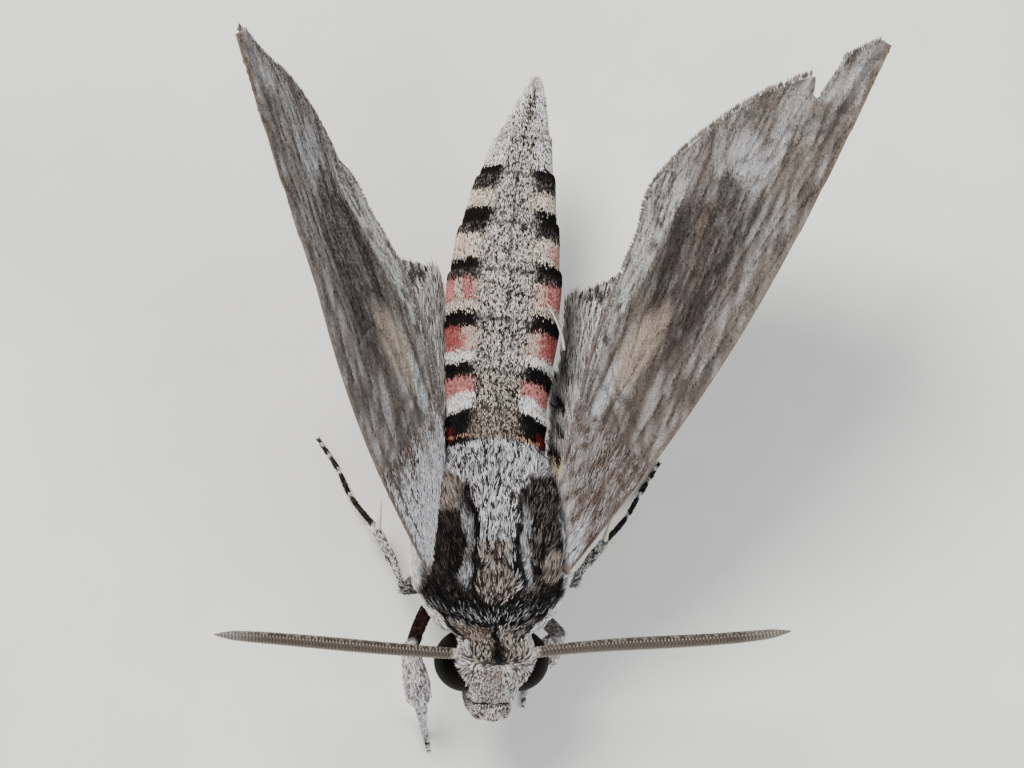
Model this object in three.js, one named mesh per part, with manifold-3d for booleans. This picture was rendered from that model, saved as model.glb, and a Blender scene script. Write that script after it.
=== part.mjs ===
// A convolvulus hawk moth (Agrius convolvuli), life size, standing with its wings raised in a V and
// shivering as before flight. Millimetres, +Z up, head toward -Y, the floor at Z = 0. X = 0 is the
// middle plane of head and thorax, and Y = 0 is the middle of the thorax. +X is the moth's left side.
// The last lines move the finished model so that its box stands centred on the origin.
import * as THREE from "three";
import { mergeVertices } from "three/addons/utils/BufferGeometryUtils.js";
import Module from "manifold-3d";

const wasm = await Module();
wasm.setup();

// ---------------------------------------------------------------- driving dimensions

const GAP = 0.12; // clear space between two neighbouring pieces
const BODY_SIDES = 20; // corners of a ring of head, thorax or abdomen
const WIDEST = 0.47; // height of the widest line of the body, as a share of its depth

// Places along the body, on Y.
const HEAD_FRONT = -11;
const COLLAR_FRONT = -6.4;
const THORAX_FRONT = -4.65;
const THORAX_REAR = 8.1;
const SEGMENT_ENDS = [8.1, 10.4, 13.1, 16.9, 20.6, 24.1, 27.9, 30.7, 35.3];
const SEGMENT_SWELL = 0.12; // how far each ring of the abdomen is rounded out

// Profiles along Y, as [Y, value], each drawn as one smooth curve.
const HEAD_HALF_WIDTH = [[HEAD_FRONT, 1.3], [-10.6, 1.75], [-9.7, 2.3], [-8.8, 2.85], [-8, 3.1],
  [-6.4, 3.05]];
const HEAD_TOP = [[HEAD_FRONT, 11.4], [-10.6, 12.1], [-9.7, 13], [-8.8, 13.7], [-7.6, 14.3], [-6.4, 13.9]];
const HEAD_BOTTOM = [[HEAD_FRONT, 9.2], [-10.6, 8.5], [-9.7, 7.6], [-8, 7.1], [-6.4, 7.2]];
const BODY_HALF_WIDTH = [[-6.4, 3.1], [-5.6, 3.65], [-4.8, 4.35], [-3.6, 5.15], [-2.5, 5.6], [-1.2, 5.85],
  [1, 5.9], [4, 5.3], [8.1, 4.2], [11, 4.2], [15, 4.5], [18, 4.55], [22, 4.25], [26, 3.5], [30, 2.5],
  [33, 1.4], [35.3, 0.35]];
const BODY_TOP = [[-6.4, 14.1], [-4.6, 15.4], [-2, 16.7], [1, 17], [5, 16.4],
  [8.1, 15.5], [12, 15.7], [18, 15.4], [24, 14.6], [30, 13.1], [35.3, 11.2]];
const BODY_BOTTOM = [[-6.4, 7.1], [-4, 5.9], [0, 5.2], [4, 5.6],
  [8.1, 6.3], [12, 6.1], [18, 6.3], [24, 7.1], [30, 8.6], [35.3, 10.4]];
const BODY_BEND = [[-6.4, 0], [8, 0], [13, 0.3], [17, 0.8], [22.4, 1.2], [26.3, 1.65], [30, 2.3],
  [35.3, 3.5]];
// How square a ring is: 2 is an ellipse, and more is fuller at the shoulders, as the head is over the eyes.
const SQUARENESS = [[HEAD_FRONT, 2.2], [-9, 2.8], [-7.4, 3], [-5.6, 2.2], [-4.6, 2], [35.3, 2]];
const HEAD_STEPS = 6; // lengths that a loft is drawn in
const COLLAR_STEPS = 3;
const COLLAR_SWELL = 0.3;
const THORAX_STEPS = 7;
const SEGMENT_STEPS = 3;

// Eyes: ellipsoids sunk into the head, and cut off short of its middle plane.
const EYE_CENTRE = [1.95, -7.9, 10.3];
const EYE_RADII = [2.3, 2.3, 2.5];
const EYE_INNER_FACE = 1.5;

// Palps, which curve up before the face and touch along the middle, and the coiled tongue under them.
const PALP_PATH = [[1.05, -8.6, 6.9], [1, -10.3, 7], [0.88, -11.3, 8.6], [0.68, -11.65, 11.1]];
const PALP_RADII = [0.7, 0.8, 0.77, 0.65];
const TONGUE_CENTRE = [0, -9.7, 6.3];
const TONGUE_RADIUS = 1.9;
const TONGUE_WIDTH = 1.1;

// Antennae: nearly straight out to the sides, thickest in the middle, hooked at the tip.
const ANTENNA_PATHS = {
  left: [[2.4, -7.4, 13.3], [6.5, -6.95, 13.3], [11.2, -6.7, 13.2], [17.6, -6.3, 13.5],
    [20.8, -6.1, 13.8], [21.7, -5.8, 14.2]],
  right: [[-2.6, -7.4, 13.3], [-6.2, -7.1, 13.3], [-10.5, -6.8, 13.2], [-15.2, -6.2, 13.4],
    [-19.4, -6.1, 13.7], [-20.4, -5.8, 14.1]],
};
const ANTENNA_RADII = [0.48, 0.52, 0.55, 0.52, 0.4, 0.26];

// Tegulae: the flaps of hair over the wing roots.
const TEGULA_Y = [-4.1, 6.3];
const TEGULA_HALF_WIDTH = 1.75;
const TEGULA_HALF_DEPTH = 0.95;
const TEGULA_SIDES = 12;
const TEGULA_LEAN = 42; // degrees from level, down toward the wing
const TEGULA_CENTRE = [3.75, 15.0]; // X and Z of its middle line
const BODY_LEAN = 4; // degrees that the back leans to the moth's right, about a line at AXIS_HEIGHT
const AXIS_HEIGHT = 11;

// Wings. A wing is drawn on its own plane: along from root to tip, across toward its rear edge.
// The plane's angles, in degrees: sweep of the front edge to the side, lift of the wing from level,
// pitch of the hinge line, and how much more level the root is than the tip.
const WING_HINGE = [4.8, -2, 14];
const WING_ANGLES = {
  left: { sweep: 54.9, lift: 58.9, pitch: -24.7, twist: 0 },
  right: { sweep: 67.6, lift: 71.3, pitch: -30.1, twist: 22 },
};
const FOREWING_LENGTH = 45;
const TORNUS_ALONG = 27; // the corner between outer and rear edge, where the twist has died out
const COSTA_BULGE = 2.5; // the front edge's bow
const FOREWING_TRAIL = [[0, 3.4], [8, 7.6], [14, 10.8], [19, 12.5], [23, 13.4], [26, 14.9],
  [28, 14.5], [31, 13.3], [36.3, 9.6], [40.7, 4.9], [43.5, 2.3], [FOREWING_LENGTH, 0.7]];
const HINDWING_LEAD = [[1.5, 3], [24.5, 6]];
const HINDWING_TRAIL = [[1.5, 5.4], [5, 8.2], [6.7, 9.8], [9, 12.6], [12, 15.3], [14.3, 17], [15.8, 17],
  [17.4, 15.6], [20, 12.9], [23, 9.8], [24.5, 7.4]];
const WING_THICKNESS = 0.5;
const HINDWING_DROP = 0.95; // how far the hind wing lies under the fore wing
const WING_CAMBER = 0.5;
// The bite torn from the left fore wing's outer edge, on the wing's plane.
const BITE = [[44, 5.6], [41.9, 3.4], [39.1, 3.2], [38.6, 4.2], [40.4, 5.6]];

// Legs: hip, where coxa and femur meet, knee, ankle, then the foot's points to the claws.
const LEG_PATHS = {
  fore: {
    left: [[1.3, -4.2, 6.4], [3.1, -3.9, 4.7], [5.15, -5.9, 9.2], [4.6, -8.7, 4.1], [4.2, -9.8, 1.5],
      [3.95, -10.4, 0.3], [3.75, -11.6, 0.25]],
    right: [[-1.3, -4.2, 6.4], [-3.2, -3.7, 4.7], [-5.9, -6.9, 8.7], [-4.5, -11.7, 3.7], [-4.1, -12.9, 1.4],
      [-3.85, -13.6, 0.3], [-3.6, -14.9, 0.25]],
  },
  mid: {
    left: [[1.9, -1, 5.8], [3.4, -1.5, 3.8], [6.4, -2.1, 8.5], [9.65, 0.9, 3.5], [11.95, 3.1, 1.1],
      [13, 4.65, 0.3], [14.65, 7.2, 0.25]],
    right: [[-1.9, -1, 5.8], [-3.3, -1.5, 3.8], [-6.15, -2.6, 8.5], [-7.85, 1.9, 3.5], [-9.85, 4.9, 1.1],
      [-10.6, 6.7, 0.3], [-12.1, 9, 0.25]],
  },
  hind: {
    left: [[2.1, 3.7, 6], [3.5, 4.6, 3.9], [6.6, 6.6, 7.4], [6.3, 12.8, 2.3], [5, 15.6, 0.5],
      [4.4, 17.2, 0.3], [3.5, 19.6, 0.25]],
    right: [[-2.1, 3.7, 6], [-3.5, 4.6, 3.9], [-6.6, 6.6, 7.4], [-6.5, 12.8, 2.3], [-5.5, 15.6, 0.5],
      [-5, 17.2, 0.3], [-4.3, 19.6, 0.25]],
  },
};
const LEG_SIDES = 8;
const COXA_RADII = { fore: [1, 0.65, 0.5], mid: [1.05, 0.85, 0.6], hind: [1.05, 0.85, 0.6] };
const TIBIA_RADII = { fore: [0.6, 0.95, 0.42], mid: [0.4, 0.6, 0.5], hind: [0.4, 0.6, 0.5] };
const TARSUS_RADII = [0.4, 0.36, 0.34, 0.28];
const SPUR_LENGTH = 2.5;
const SPUR_RADII = [0.3, 0.12];
const SPUR_SPREAD = 34; // degrees between an outer spur and the shin
const INNER_SPUR = [0.6, 1.05, 0.5]; // how an inner spur points: down the shin, up from it and inward
// Where pairs of spurs stand, as shares of the shin.
const SPUR_PLACES = { fore: [], mid: [0.97], hind: [0.62, 0.97] };

const COLOURS = {
  fur: 0x9a938a,
  collar: 0x6e6258,
  tegula: 0x3d332c,
  abdomenPink: 0xc08a84,
  abdomenBlack: 0x4a4643,
  eye: 0x1d120d,
  antenna: 0x8a6f55,
  wing: 0x8c857d,
  hindwing: 0x9d958a,
  leg: 0xa39b91,
  tarsus: 0x4b3f37,
};

// ---------------------------------------------------------------- helpers

const radians = THREE.MathUtils.degToRad;
const SIDES = { left: 1, right: -1 };

// A smooth curve through [place, value] pairs that never overshoots them (monotone cubic).
function profile(pairs) {
  const slopes = pairs.slice(1).map(([x, y], i) => (y - pairs[i][1]) / (x - pairs[i][0]));
  const tangents = pairs.map((_, i) => {
    if (i === 0) return slopes[0];
    if (i === pairs.length - 1) return slopes[i - 1];
    const [before, after] = [slopes[i - 1], slopes[i]];
    return before * after <= 0 ? 0 : (2 * before * after) / (before + after);
  });
  return (x) => {
    const above = pairs.findIndex(([place]) => place > x);
    const i = above === -1 ? pairs.length - 2 : Math.max(above - 1, 0);
    const [x0, y0] = pairs[i];
    const [x1, y1] = pairs[i + 1];
    const span = x1 - x0;
    const t = THREE.MathUtils.clamp((x - x0) / span, 0, 1);
    const [a, b] = [tangents[i] * span, tangents[i + 1] * span];
    return y0 + t * (a + t * (3 * (y1 - y0) - 2 * a - b + t * (2 * (y0 - y1) + a + b)));
  };
}

// count + 1 places from first to last.
function spaced(first, last, count) {
  return Array.from({ length: count + 1 }, (_, i) => THREE.MathUtils.lerp(first, last, i / count));
}

// The angles of the corners of a ring with that many sides.
function around(sides) {
  return spaced(0, 2 * Math.PI, sides).slice(0, sides);
}

// A closed mesh over rings of as many corners each, with a fan over each end.
function loft(rings) {
  const sides = rings[0].length;
  const middle = (ring) =>
    ring.reduce((sum, point) => sum.add(point), new THREE.Vector3()).divideScalar(sides);
  const points = [...rings.flat(), middle(rings[0]), middle(rings.at(-1))];
  const [first, last] = [points.length - 2, points.length - 1];
  const lastRing = (rings.length - 1) * sides;
  const faces = [];
  for (let corner = 0; corner < sides; corner++) {
    const next = (corner + 1) % sides;
    faces.push([first, next, corner], [last, lastRing + corner, lastRing + next]);
    for (let start = 0; start < lastRing; start += sides) {
      const [a, b] = [start + corner, start + next];
      faces.push([a, b, b + sides], [a, b + sides, a + sides]);
    }
  }
  const geometry = new THREE.BufferGeometry();
  geometry.setAttribute("position", new THREE.Float32BufferAttribute(points.flatMap((p) => p.toArray()), 3));
  geometry.setIndex(faces.flat());
  return solid(geometry);
}

// A closed geometry as a manifold solid that faces out.
function solid(source) {
  const bare = source.clone();
  bare.deleteAttribute("normal");
  bare.deleteAttribute("uv");
  const geometry = mergeVertices(bare, 1e-4);
  const vertProperties = new Float32Array(geometry.attributes.position.array);
  const build = (triVerts) => new wasm.Manifold(new wasm.Mesh({ numProp: 3, vertProperties, triVerts }));
  const corners = Uint32Array.from(geometry.index.array);
  const made = build(corners);
  return made.volume() > 0 ? made : build(corners.reverse());
}

// The node: a named mesh of a solid, with its own material.
function node(name, body, colour, roughness = 0.85) {
  const { vertProperties, triVerts } = body.getMesh();
  const geometry = new THREE.BufferGeometry();
  geometry.setAttribute("position", new THREE.Float32BufferAttribute(Array.from(vertProperties), 3));
  geometry.setIndex(Array.from(triVerts));
  geometry.computeVertexNormals();
  const material = new THREE.MeshStandardMaterial({ color: colour, roughness, metalness: 0 });
  const mesh = new THREE.Mesh(geometry, material);
  mesh.name = name;
  return mesh;
}

// A round tapering limb along points, its ends drawn in. grow makes it thicker and longer all over.
function limb(path, radii, { steps = 6, sides = LEG_SIDES, grow = 0 } = {}) {
  const curve = new THREE.CatmullRomCurve3(path.map((p) => new THREE.Vector3(...p)), false, "centripetal");
  const thickness = profile(radii.map((radius, i) => [i / (radii.length - 1), radius]));
  const up = new THREE.Vector3(0, 0, 1);
  const ring = (t, radius, push) => {
    const forward = curve.getTangentAt(t);
    const across = new THREE.Vector3().crossVectors(forward, up).normalize();
    const over = new THREE.Vector3().crossVectors(across, forward);
    const centre = curve.getPointAt(t).addScaledVector(forward, push);
    return around(sides).map((angle) =>
      centre.clone()
        .addScaledVector(across, radius * Math.cos(angle))
        .addScaledVector(over, radius * Math.sin(angle)));
  };
  const drawnIn = 0.6;
  const start = thickness(0) + grow;
  const end = thickness(1) + grow;
  const between = spaced(0, 1, steps).map((t) => ring(t, thickness(t) + grow, 0));
  return loft([
    ring(0, start * drawnIn, -start * (1 - drawnIn)),
    ...between,
    ring(1, end * drawnIn, end * (1 - drawnIn)),
  ]);
}

function ellipsoid(centre, radii, grow = 0) {
  const geometry = new THREE.SphereGeometry(1, 14, 10);
  geometry.rotateZ(Math.PI / 2); // its poles on the X axis
  geometry.scale(...radii.map((radius) => radius + grow));
  geometry.translate(...centre);
  return solid(geometry);
}

function box(size, centre) {
  return solid(new THREE.BoxGeometry(...size).translate(...centre));
}

// What is left of a body after the cuts: its largest piece, so that no sliver stays behind.
function without(body, cutters) {
  const left = cutters.reduce((rest, cutter) => rest.subtract(cutter), body);
  return left.decompose().reduce((best, piece) => (piece.volume() > best.volume() ? piece : best));
}

// ---------------------------------------------------------------- body

const bodyHalfWidth = profile(BODY_HALF_WIDTH);
const bodyTop = profile(BODY_TOP);
const bodyBottom = profile(BODY_BOTTOM);
const bodyBend = profile(BODY_BEND);
const headHalfWidth = profile(HEAD_HALF_WIDTH);
const headTop = profile(HEAD_TOP);
const headBottom = profile(HEAD_BOTTOM);
const squareness = profile(SQUARENESS);

// A ring across the body at y: two half ovals that meet at its widest line.
function crossRing(y, x, halfWidth, bottom, top) {
  const middle = THREE.MathUtils.lerp(bottom, top, WIDEST);
  const fullness = 2 / squareness(y);
  const fuller = (value) => Math.sign(value) * Math.abs(value) ** fullness;
  return around(BODY_SIDES).map((angle) => {
    const rise = fuller(Math.sin(angle));
    const reach = rise > 0 ? top - middle : middle - bottom;
    return new THREE.Vector3(x + halfWidth * fuller(Math.cos(angle)), y, middle + reach * rise);
  });
}

// A length of the trunk. swell rounds it between its ends, as a segment's hair does.
function trunkLength(front, rear, steps, { swell = 0, grow = 0 } = {}) {
  return loft(spaced(front, rear, steps).map((y, i) => {
    const plump = grow + swell * Math.sin((Math.PI * i) / steps);
    return crossRing(y, bodyBend(y), bodyHalfWidth(y) + plump, bodyBottom(y) - plump, bodyTop(y) + plump);
  }));
}

function headShape(grow = 0) {
  return loft(spaced(HEAD_FRONT, COLLAR_FRONT - GAP, HEAD_STEPS).map((y) =>
    crossRing(y, 0, headHalfWidth(y) + grow, headBottom(y) - grow, headTop(y) + grow)));
}

function eye(side, grow = 0) {
  const [x, y, z] = EYE_CENTRE;
  const reach = 8;
  const outside = box([reach, reach, reach], [side * (EYE_INNER_FACE - grow + reach / 2), y, z]);
  return ellipsoid([side * x, y, z], EYE_RADII, grow).intersect(outside);
}

function palp(side, grow = 0) {
  const path = PALP_PATH.map(([x, y, z]) => [side * x, y, z]);
  return limb(path, PALP_RADII, { steps: 4, sides: 9, grow });
}

function tongue() {
  const coil = new THREE.CylinderGeometry(TONGUE_RADIUS, TONGUE_RADIUS, TONGUE_WIDTH, 16);
  return solid(coil.rotateZ(Math.PI / 2).translate(...TONGUE_CENTRE));
}

function antenna(name, grow = 0) {
  return limb(ANTENNA_PATHS[name], ANTENNA_RADII, { steps: 10, sides: 7, grow });
}

function tegula(side, grow = 0) {
  const [front, rear] = TEGULA_Y;
  const [x, z] = TEGULA_CENTRE;
  const lean = radians(TEGULA_LEAN);
  const outline = profile([[0, 0.35], [0.18, 0.85], [0.45, 1], [0.8, 0.75], [1, 0.2]]);
  return loft(spaced(0, 1, 7).map((t) => {
    const halfWidth = TEGULA_HALF_WIDTH * outline(t) + grow;
    const halfDepth = TEGULA_HALF_DEPTH * Math.sqrt(outline(t)) + grow;
    const y = THREE.MathUtils.lerp(front - grow, rear + grow, t);
    const slump = 0.9 * (2 * t - 1) ** 2; // lower at both ends, as the thorax is
    return around(TEGULA_SIDES).map((angle) => {
      const [u, v] = [halfWidth * Math.cos(angle), halfDepth * Math.sin(angle) - slump];
      const out = x + u * Math.cos(lean) + v * Math.sin(lean);
      const over = z - u * Math.sin(lean) + v * Math.cos(lean) - AXIS_HEIGHT;
      const point = new THREE.Vector3(side * out, y, over);
      point.applyAxisAngle(new THREE.Vector3(0, 1, 0), -radians(BODY_LEAN));
      return point.setZ(point.z + AXIS_HEIGHT);
    });
  }));
}

// ---------------------------------------------------------------- wings

const forewingTrail = profile(FOREWING_TRAIL);
const forewingLead = (along) => -COSTA_BULGE * Math.sin((Math.PI * along) / FOREWING_LENGTH);
const hindwingLead = profile(HINDWING_LEAD);
const hindwingTrail = profile(HINDWING_TRAIL);

// Maps a place on a wing (along, across, height over its upper face) into space.
function wingFrame(name) {
  const side = SIDES[name];
  const { sweep, lift, pitch, twist } = WING_ANGLES[name];
  const hinge = new THREE.Vector3(side * WING_HINGE[0], WING_HINGE[1], WING_HINGE[2]);
  const rearward = new THREE.Vector3(0, Math.cos(radians(pitch)), Math.sin(radians(pitch)));
  const sideways = new THREE.Vector3(side * Math.cos(radians(lift)), 0, Math.sin(radians(lift)));
  sideways.addScaledVector(rearward, -sideways.dot(rearward)).normalize();
  const along = rearward.clone().multiplyScalar(Math.cos(radians(sweep)))
    .addScaledVector(sideways, Math.sin(radians(sweep)));
  const across = rearward.clone().multiplyScalar(Math.sin(radians(sweep)))
    .addScaledVector(sideways, -Math.cos(radians(sweep)));
  return (u, v, height) => {
    const untwisted = Math.max(0, 1 - (u / TORNUS_ALONG) ** 2);
    const chord = across.clone().applyAxisAngle(along, side * radians(twist) * untwisted);
    const upper = new THREE.Vector3().crossVectors(along, chord).multiplyScalar(side);
    return hinge.clone().addScaledVector(along, u).addScaledVector(chord, v).addScaledVector(upper, height);
  };
}

// A plate between two edges, of even thickness and a little arched from front to rear.
function wingPlate(name, lead, trail, first, last, steps, drop, grow = 0) {
  const place = wingFrame(name);
  const chordSteps = 3;
  const half = WING_THICKNESS / 2 + grow;
  return loft(spaced(first - grow, last + grow, steps).map((u) => {
    const [front, rear] = [lead(u) - grow, trail(u) + grow];
    const row = (t, height) => {
      const arch = WING_CAMBER * Math.sin(Math.PI * t);
      return place(u, THREE.MathUtils.lerp(front, rear, t), arch - drop + height);
    };
    const upper = spaced(0, 1, chordSteps).map((t) => row(t, half));
    const lower = spaced(1, 0, chordSteps).map((t) => row(t, -half));
    return [...upper, ...lower];
  }));
}

function forewing(name, grow = 0) {
  return wingPlate(name, forewingLead, forewingTrail, 0, FOREWING_LENGTH, 16, 0, grow);
}

function hindwing(name) {
  return wingPlate(name, hindwingLead, hindwingTrail, 1.5, 24.5, 9, HINDWING_DROP);
}

function bite(name) {
  const place = wingFrame(name);
  const reach = 3; // clear of both faces of the wing
  return loft([-reach, reach].map((height) => BITE.map(([u, v]) => place(u, v, height))));
}

// ---------------------------------------------------------------- legs

function coxaAndFemur(path, pair, grow = 0) {
  return limb(path.slice(0, 3), COXA_RADII[pair], { steps: 4, grow });
}

// The shin with its spurs: the outer ones point down it and a little out,
// the inner ones up and back.
function tibia(path, pair, grow = 0) {
  const [knee, ankle] = [path[2], path[3]].map((p) => new THREE.Vector3(...p));
  const shin = ankle.clone().sub(knee);
  const down = shin.clone().normalize();
  const across = new THREE.Vector3().crossVectors(down, new THREE.Vector3(0, 0, 1)).normalize();
  const over = new THREE.Vector3(0, 0, 1).addScaledVector(down, -down.z);
  const spread = radians(SPUR_SPREAD);
  const [innerDown, innerUp, innerIn] = INNER_SPUR;
  const spurs = SPUR_PLACES[pair].flatMap((share) => [-1, 1].map((hand) => {
    const root = knee.clone().addScaledVector(shin, share);
    const outer = down.clone().multiplyScalar(Math.cos(spread))
      .addScaledVector(across, hand * Math.sin(spread));
    const inner = down.clone().multiplyScalar(innerDown)
      .addScaledVector(over, innerUp).addScaledVector(across, hand * innerIn).normalize();
    const way = hand * knee.x < 0 ? inner : outer;
    const tip = root.clone().addScaledVector(way, SPUR_LENGTH);
    return limb([root.toArray(), tip.toArray()], SPUR_RADII, { steps: 1, sides: 5, grow });
  }));
  const bare = limb([knee.toArray(), ankle.toArray()], TIBIA_RADII[pair], { steps: 3, grow });
  return spurs.reduce((joined, spur) => joined.add(spur), bare);
}

function tarsus(path) {
  return limb(path.slice(3), TARSUS_RADII, { steps: 5 });
}

// ---------------------------------------------------------------- assembly

const moth = new THREE.Group();
const sideNames = Object.keys(SIDES);

const eyes = sideNames.map((name) => eye(SIDES[name], GAP));
const palps = sideNames.map((name) => palp(SIDES[name], GAP));
const antennae = sideNames.map((name) => antenna(name, GAP));
const tegulae = sideNames.map((name) => tegula(SIDES[name], GAP));
const forewings = sideNames.map((name) => forewing(name, GAP));

moth.add(node("head", without(headShape(), [...eyes, ...palps, ...antennae]), COLOURS.fur));
moth.add(node("proboscis", without(tongue(), [headShape(GAP), ...palps]), COLOURS.antenna, 0.5));
for (const name of sideNames) {
  moth.add(node(`eye_${name}`, eye(SIDES[name]), COLOURS.eye, 0.15));
  moth.add(node(`palp_${name}`, palp(SIDES[name]), COLOURS.fur));
  moth.add(node(`antenna_${name}`, without(antenna(name), eyes), COLOURS.antenna, 0.6));
}

const collar = trunkLength(COLLAR_FRONT, THORAX_FRONT - GAP, COLLAR_STEPS, { swell: COLLAR_SWELL });
moth.add(node("collar", without(collar, [...eyes, ...tegulae]), COLOURS.collar));
const thorax = trunkLength(THORAX_FRONT, THORAX_REAR, THORAX_STEPS);
moth.add(node("thorax", without(thorax, tegulae), COLOURS.fur));

SEGMENT_ENDS.slice(0, -1).forEach((front, i) => {
  const rear = SEGMENT_ENDS[i + 1];
  const segment = trunkLength(front + GAP, rear, SEGMENT_STEPS, { swell: SEGMENT_SWELL });
  const colour = i % 2 ? COLOURS.abdomenBlack : COLOURS.abdomenPink;
  moth.add(node(`abdomen_${i + 1}`, segment, colour));
});

const trunkForCutting = [
  trunkLength(COLLAR_FRONT - GAP, THORAX_FRONT, 4, { swell: COLLAR_SWELL, grow: GAP }),
  trunkLength(THORAX_FRONT - GAP, SEGMENT_ENDS[1], 8, { grow: GAP }),
  trunkLength(SEGMENT_ENDS[1], SEGMENT_ENDS[4], 5, { grow: SEGMENT_SWELL + GAP }),
];
sideNames.forEach((name, i) => {
  const tears = name === "left" ? [bite(name)] : [];
  const wing = without(forewing(name), [...trunkForCutting, ...tegulae, ...tears]);
  const hind = without(hindwing(name), [...trunkForCutting, ...tegulae, forewings[i]]);
  moth.add(node(`tegula_${name}`, tegula(SIDES[name]), COLOURS.tegula));
  moth.add(node(`forewing_${name}`, wing, COLOURS.wing));
  moth.add(node(`hindwing_${name}`, hind, COLOURS.hindwing));
});

const FLOOR_REACH = 80; // wider than the model stands
const underfloor = box([FLOOR_REACH, FLOOR_REACH, 4], [0, 0, -2]);
for (const [pair, paths] of Object.entries(LEG_PATHS)) {
  for (const name of sideNames) {
    const path = paths[name];
    const thigh = without(coxaAndFemur(path, pair), trunkForCutting);
    const shin = without(tibia(path, pair), [coxaAndFemur(path, pair, GAP), ...trunkForCutting]);
    const foot = without(tarsus(path), [tibia(path, pair, GAP), underfloor]);
    moth.add(node(`${pair}leg_${name}_femur`, thigh, COLOURS.leg));
    moth.add(node(`${pair}leg_${name}_tibia`, shin, COLOURS.leg));
    moth.add(node(`${pair}leg_${name}_tarsus`, foot, COLOURS.tarsus));
  }
}

const extent = new THREE.Box3().setFromObject(moth, true);
const middle = extent.getCenter(new THREE.Vector3());
moth.position.set(-middle.x, -middle.y, 0);

export default moth;
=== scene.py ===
"""A convolvulus hawk moth, life size: skin, coat, wings, eyes, feelers, tongue and feet.

Shapes are worked out in millimetres in the body's own frame: X = 0 is the middle plane of the thorax, Y = 0
its middle with the head toward -Y, and Z = 0 the floor. place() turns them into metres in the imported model's
frame. The coat is drawn as tufts: thin solid scales, each with its own colour, rooted on the skin and lying
along it. All markings come from rules that say what colour each place has.
"""
import math

import bpy
import numpy as np
from mathutils import Matrix, Vector


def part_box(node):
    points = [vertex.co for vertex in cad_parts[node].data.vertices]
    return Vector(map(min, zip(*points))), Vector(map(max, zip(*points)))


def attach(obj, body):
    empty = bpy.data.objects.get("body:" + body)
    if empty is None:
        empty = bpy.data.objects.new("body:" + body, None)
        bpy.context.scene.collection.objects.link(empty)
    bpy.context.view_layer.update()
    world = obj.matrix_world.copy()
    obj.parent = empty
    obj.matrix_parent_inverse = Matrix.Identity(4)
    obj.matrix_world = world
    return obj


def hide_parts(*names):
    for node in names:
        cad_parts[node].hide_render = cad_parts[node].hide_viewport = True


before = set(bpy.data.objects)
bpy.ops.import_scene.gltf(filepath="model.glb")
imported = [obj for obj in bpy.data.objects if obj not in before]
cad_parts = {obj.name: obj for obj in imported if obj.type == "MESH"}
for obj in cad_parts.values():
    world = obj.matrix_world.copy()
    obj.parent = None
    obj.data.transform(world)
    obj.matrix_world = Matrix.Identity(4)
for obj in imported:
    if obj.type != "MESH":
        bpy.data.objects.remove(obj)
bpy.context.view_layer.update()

# ---------------------------------------------------------------- driving dimensions, in millimetres

HEAD_FRONT = -11.0
COLLAR_FRONT = -6.4
COLLAR_REAR = -4.75
THORAX_REAR = 8.1
SEGMENT_ENDS = np.array([THORAX_REAR, 10.4, 13.1, 16.9, 20.6, 24.1, 27.9, 30.7, 35.3])
WIDEST = 0.47  # height of the widest line of the body, as a share of its depth
AXIS_HEIGHT = 11.0
BODY_LEAN = 4.0  # degrees that the back leans to the moth's right

# Profiles along Y, as [Y, value].
HEAD_HALF_WIDTH = [[HEAD_FRONT, 1.3], [-10.6, 1.75], [-9.7, 2.3], [-8.8, 2.85], [-8, 3.1]]
HEAD_TOP = [[HEAD_FRONT, 11.4], [-10.6, 12.1], [-9.7, 13], [-8.8, 13.7], [-7.6, 14.3]]
HEAD_BOTTOM = [[HEAD_FRONT, 9.2], [-10.6, 8.5], [-9.7, 7.6], [-8, 7.1]]
BODY_HALF_WIDTH = [[-6.4, 3.1], [-5.6, 3.65], [-4.8, 4.35], [-3.6, 5.15], [-2.5, 5.6], [-1.2, 5.85], [1, 5.9],
                   [4, 5.3], [8.1, 4.2], [11, 4.2], [15, 4.5], [18, 4.55], [22, 4.25], [26, 3.5], [30, 2.5],
                   [33, 1.4], [35.3, 0.35]]
BODY_TOP = [[-6.4, 14.1], [-4.6, 15.4], [-2, 16.7], [1, 17], [5, 16.4], [8.1, 15.5], [12, 15.7], [18, 15.4],
            [24, 14.6], [30, 13.1], [35.3, 11.2]]
BODY_BOTTOM = [[-6.4, 7.1], [-4, 5.9], [0, 5.2], [4, 5.6], [8.1, 6.3], [12, 6.1], [18, 6.3], [24, 7.1],
               [30, 8.6], [35.3, 10.4]]
BODY_BEND = [[HEAD_FRONT, 0], [-6.4, 0], [8, 0], [13, 0.3], [17, 0.8], [22.4, 1.2], [26.3, 1.65], [30, 2.3],
             [35.3, 3.5]]
SQUARENESS = [[HEAD_FRONT, 2.2], [-9, 2.8], [-7.4, 3], [-5.6, 2.2], [-4.6, 2], [35.3, 2]]  # 2 is an ellipse
COAT_DEPTH = [[HEAD_FRONT, 0.15], [-9, 0.2], [-7.6, 0.25], [-6.4, 0.4], [-3, 0.48], [5, 0.5], [8.1, 0.42],
              [11, 0.4], [30, 0.3], [35.3, 0.15]]
EDGE_BOW = [[6, 0], [8.1, 0.9], [10.4, 1.1], [13.1, 0.45], [17, 0.2], [22, 0.05], [35.3, 0]]

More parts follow.
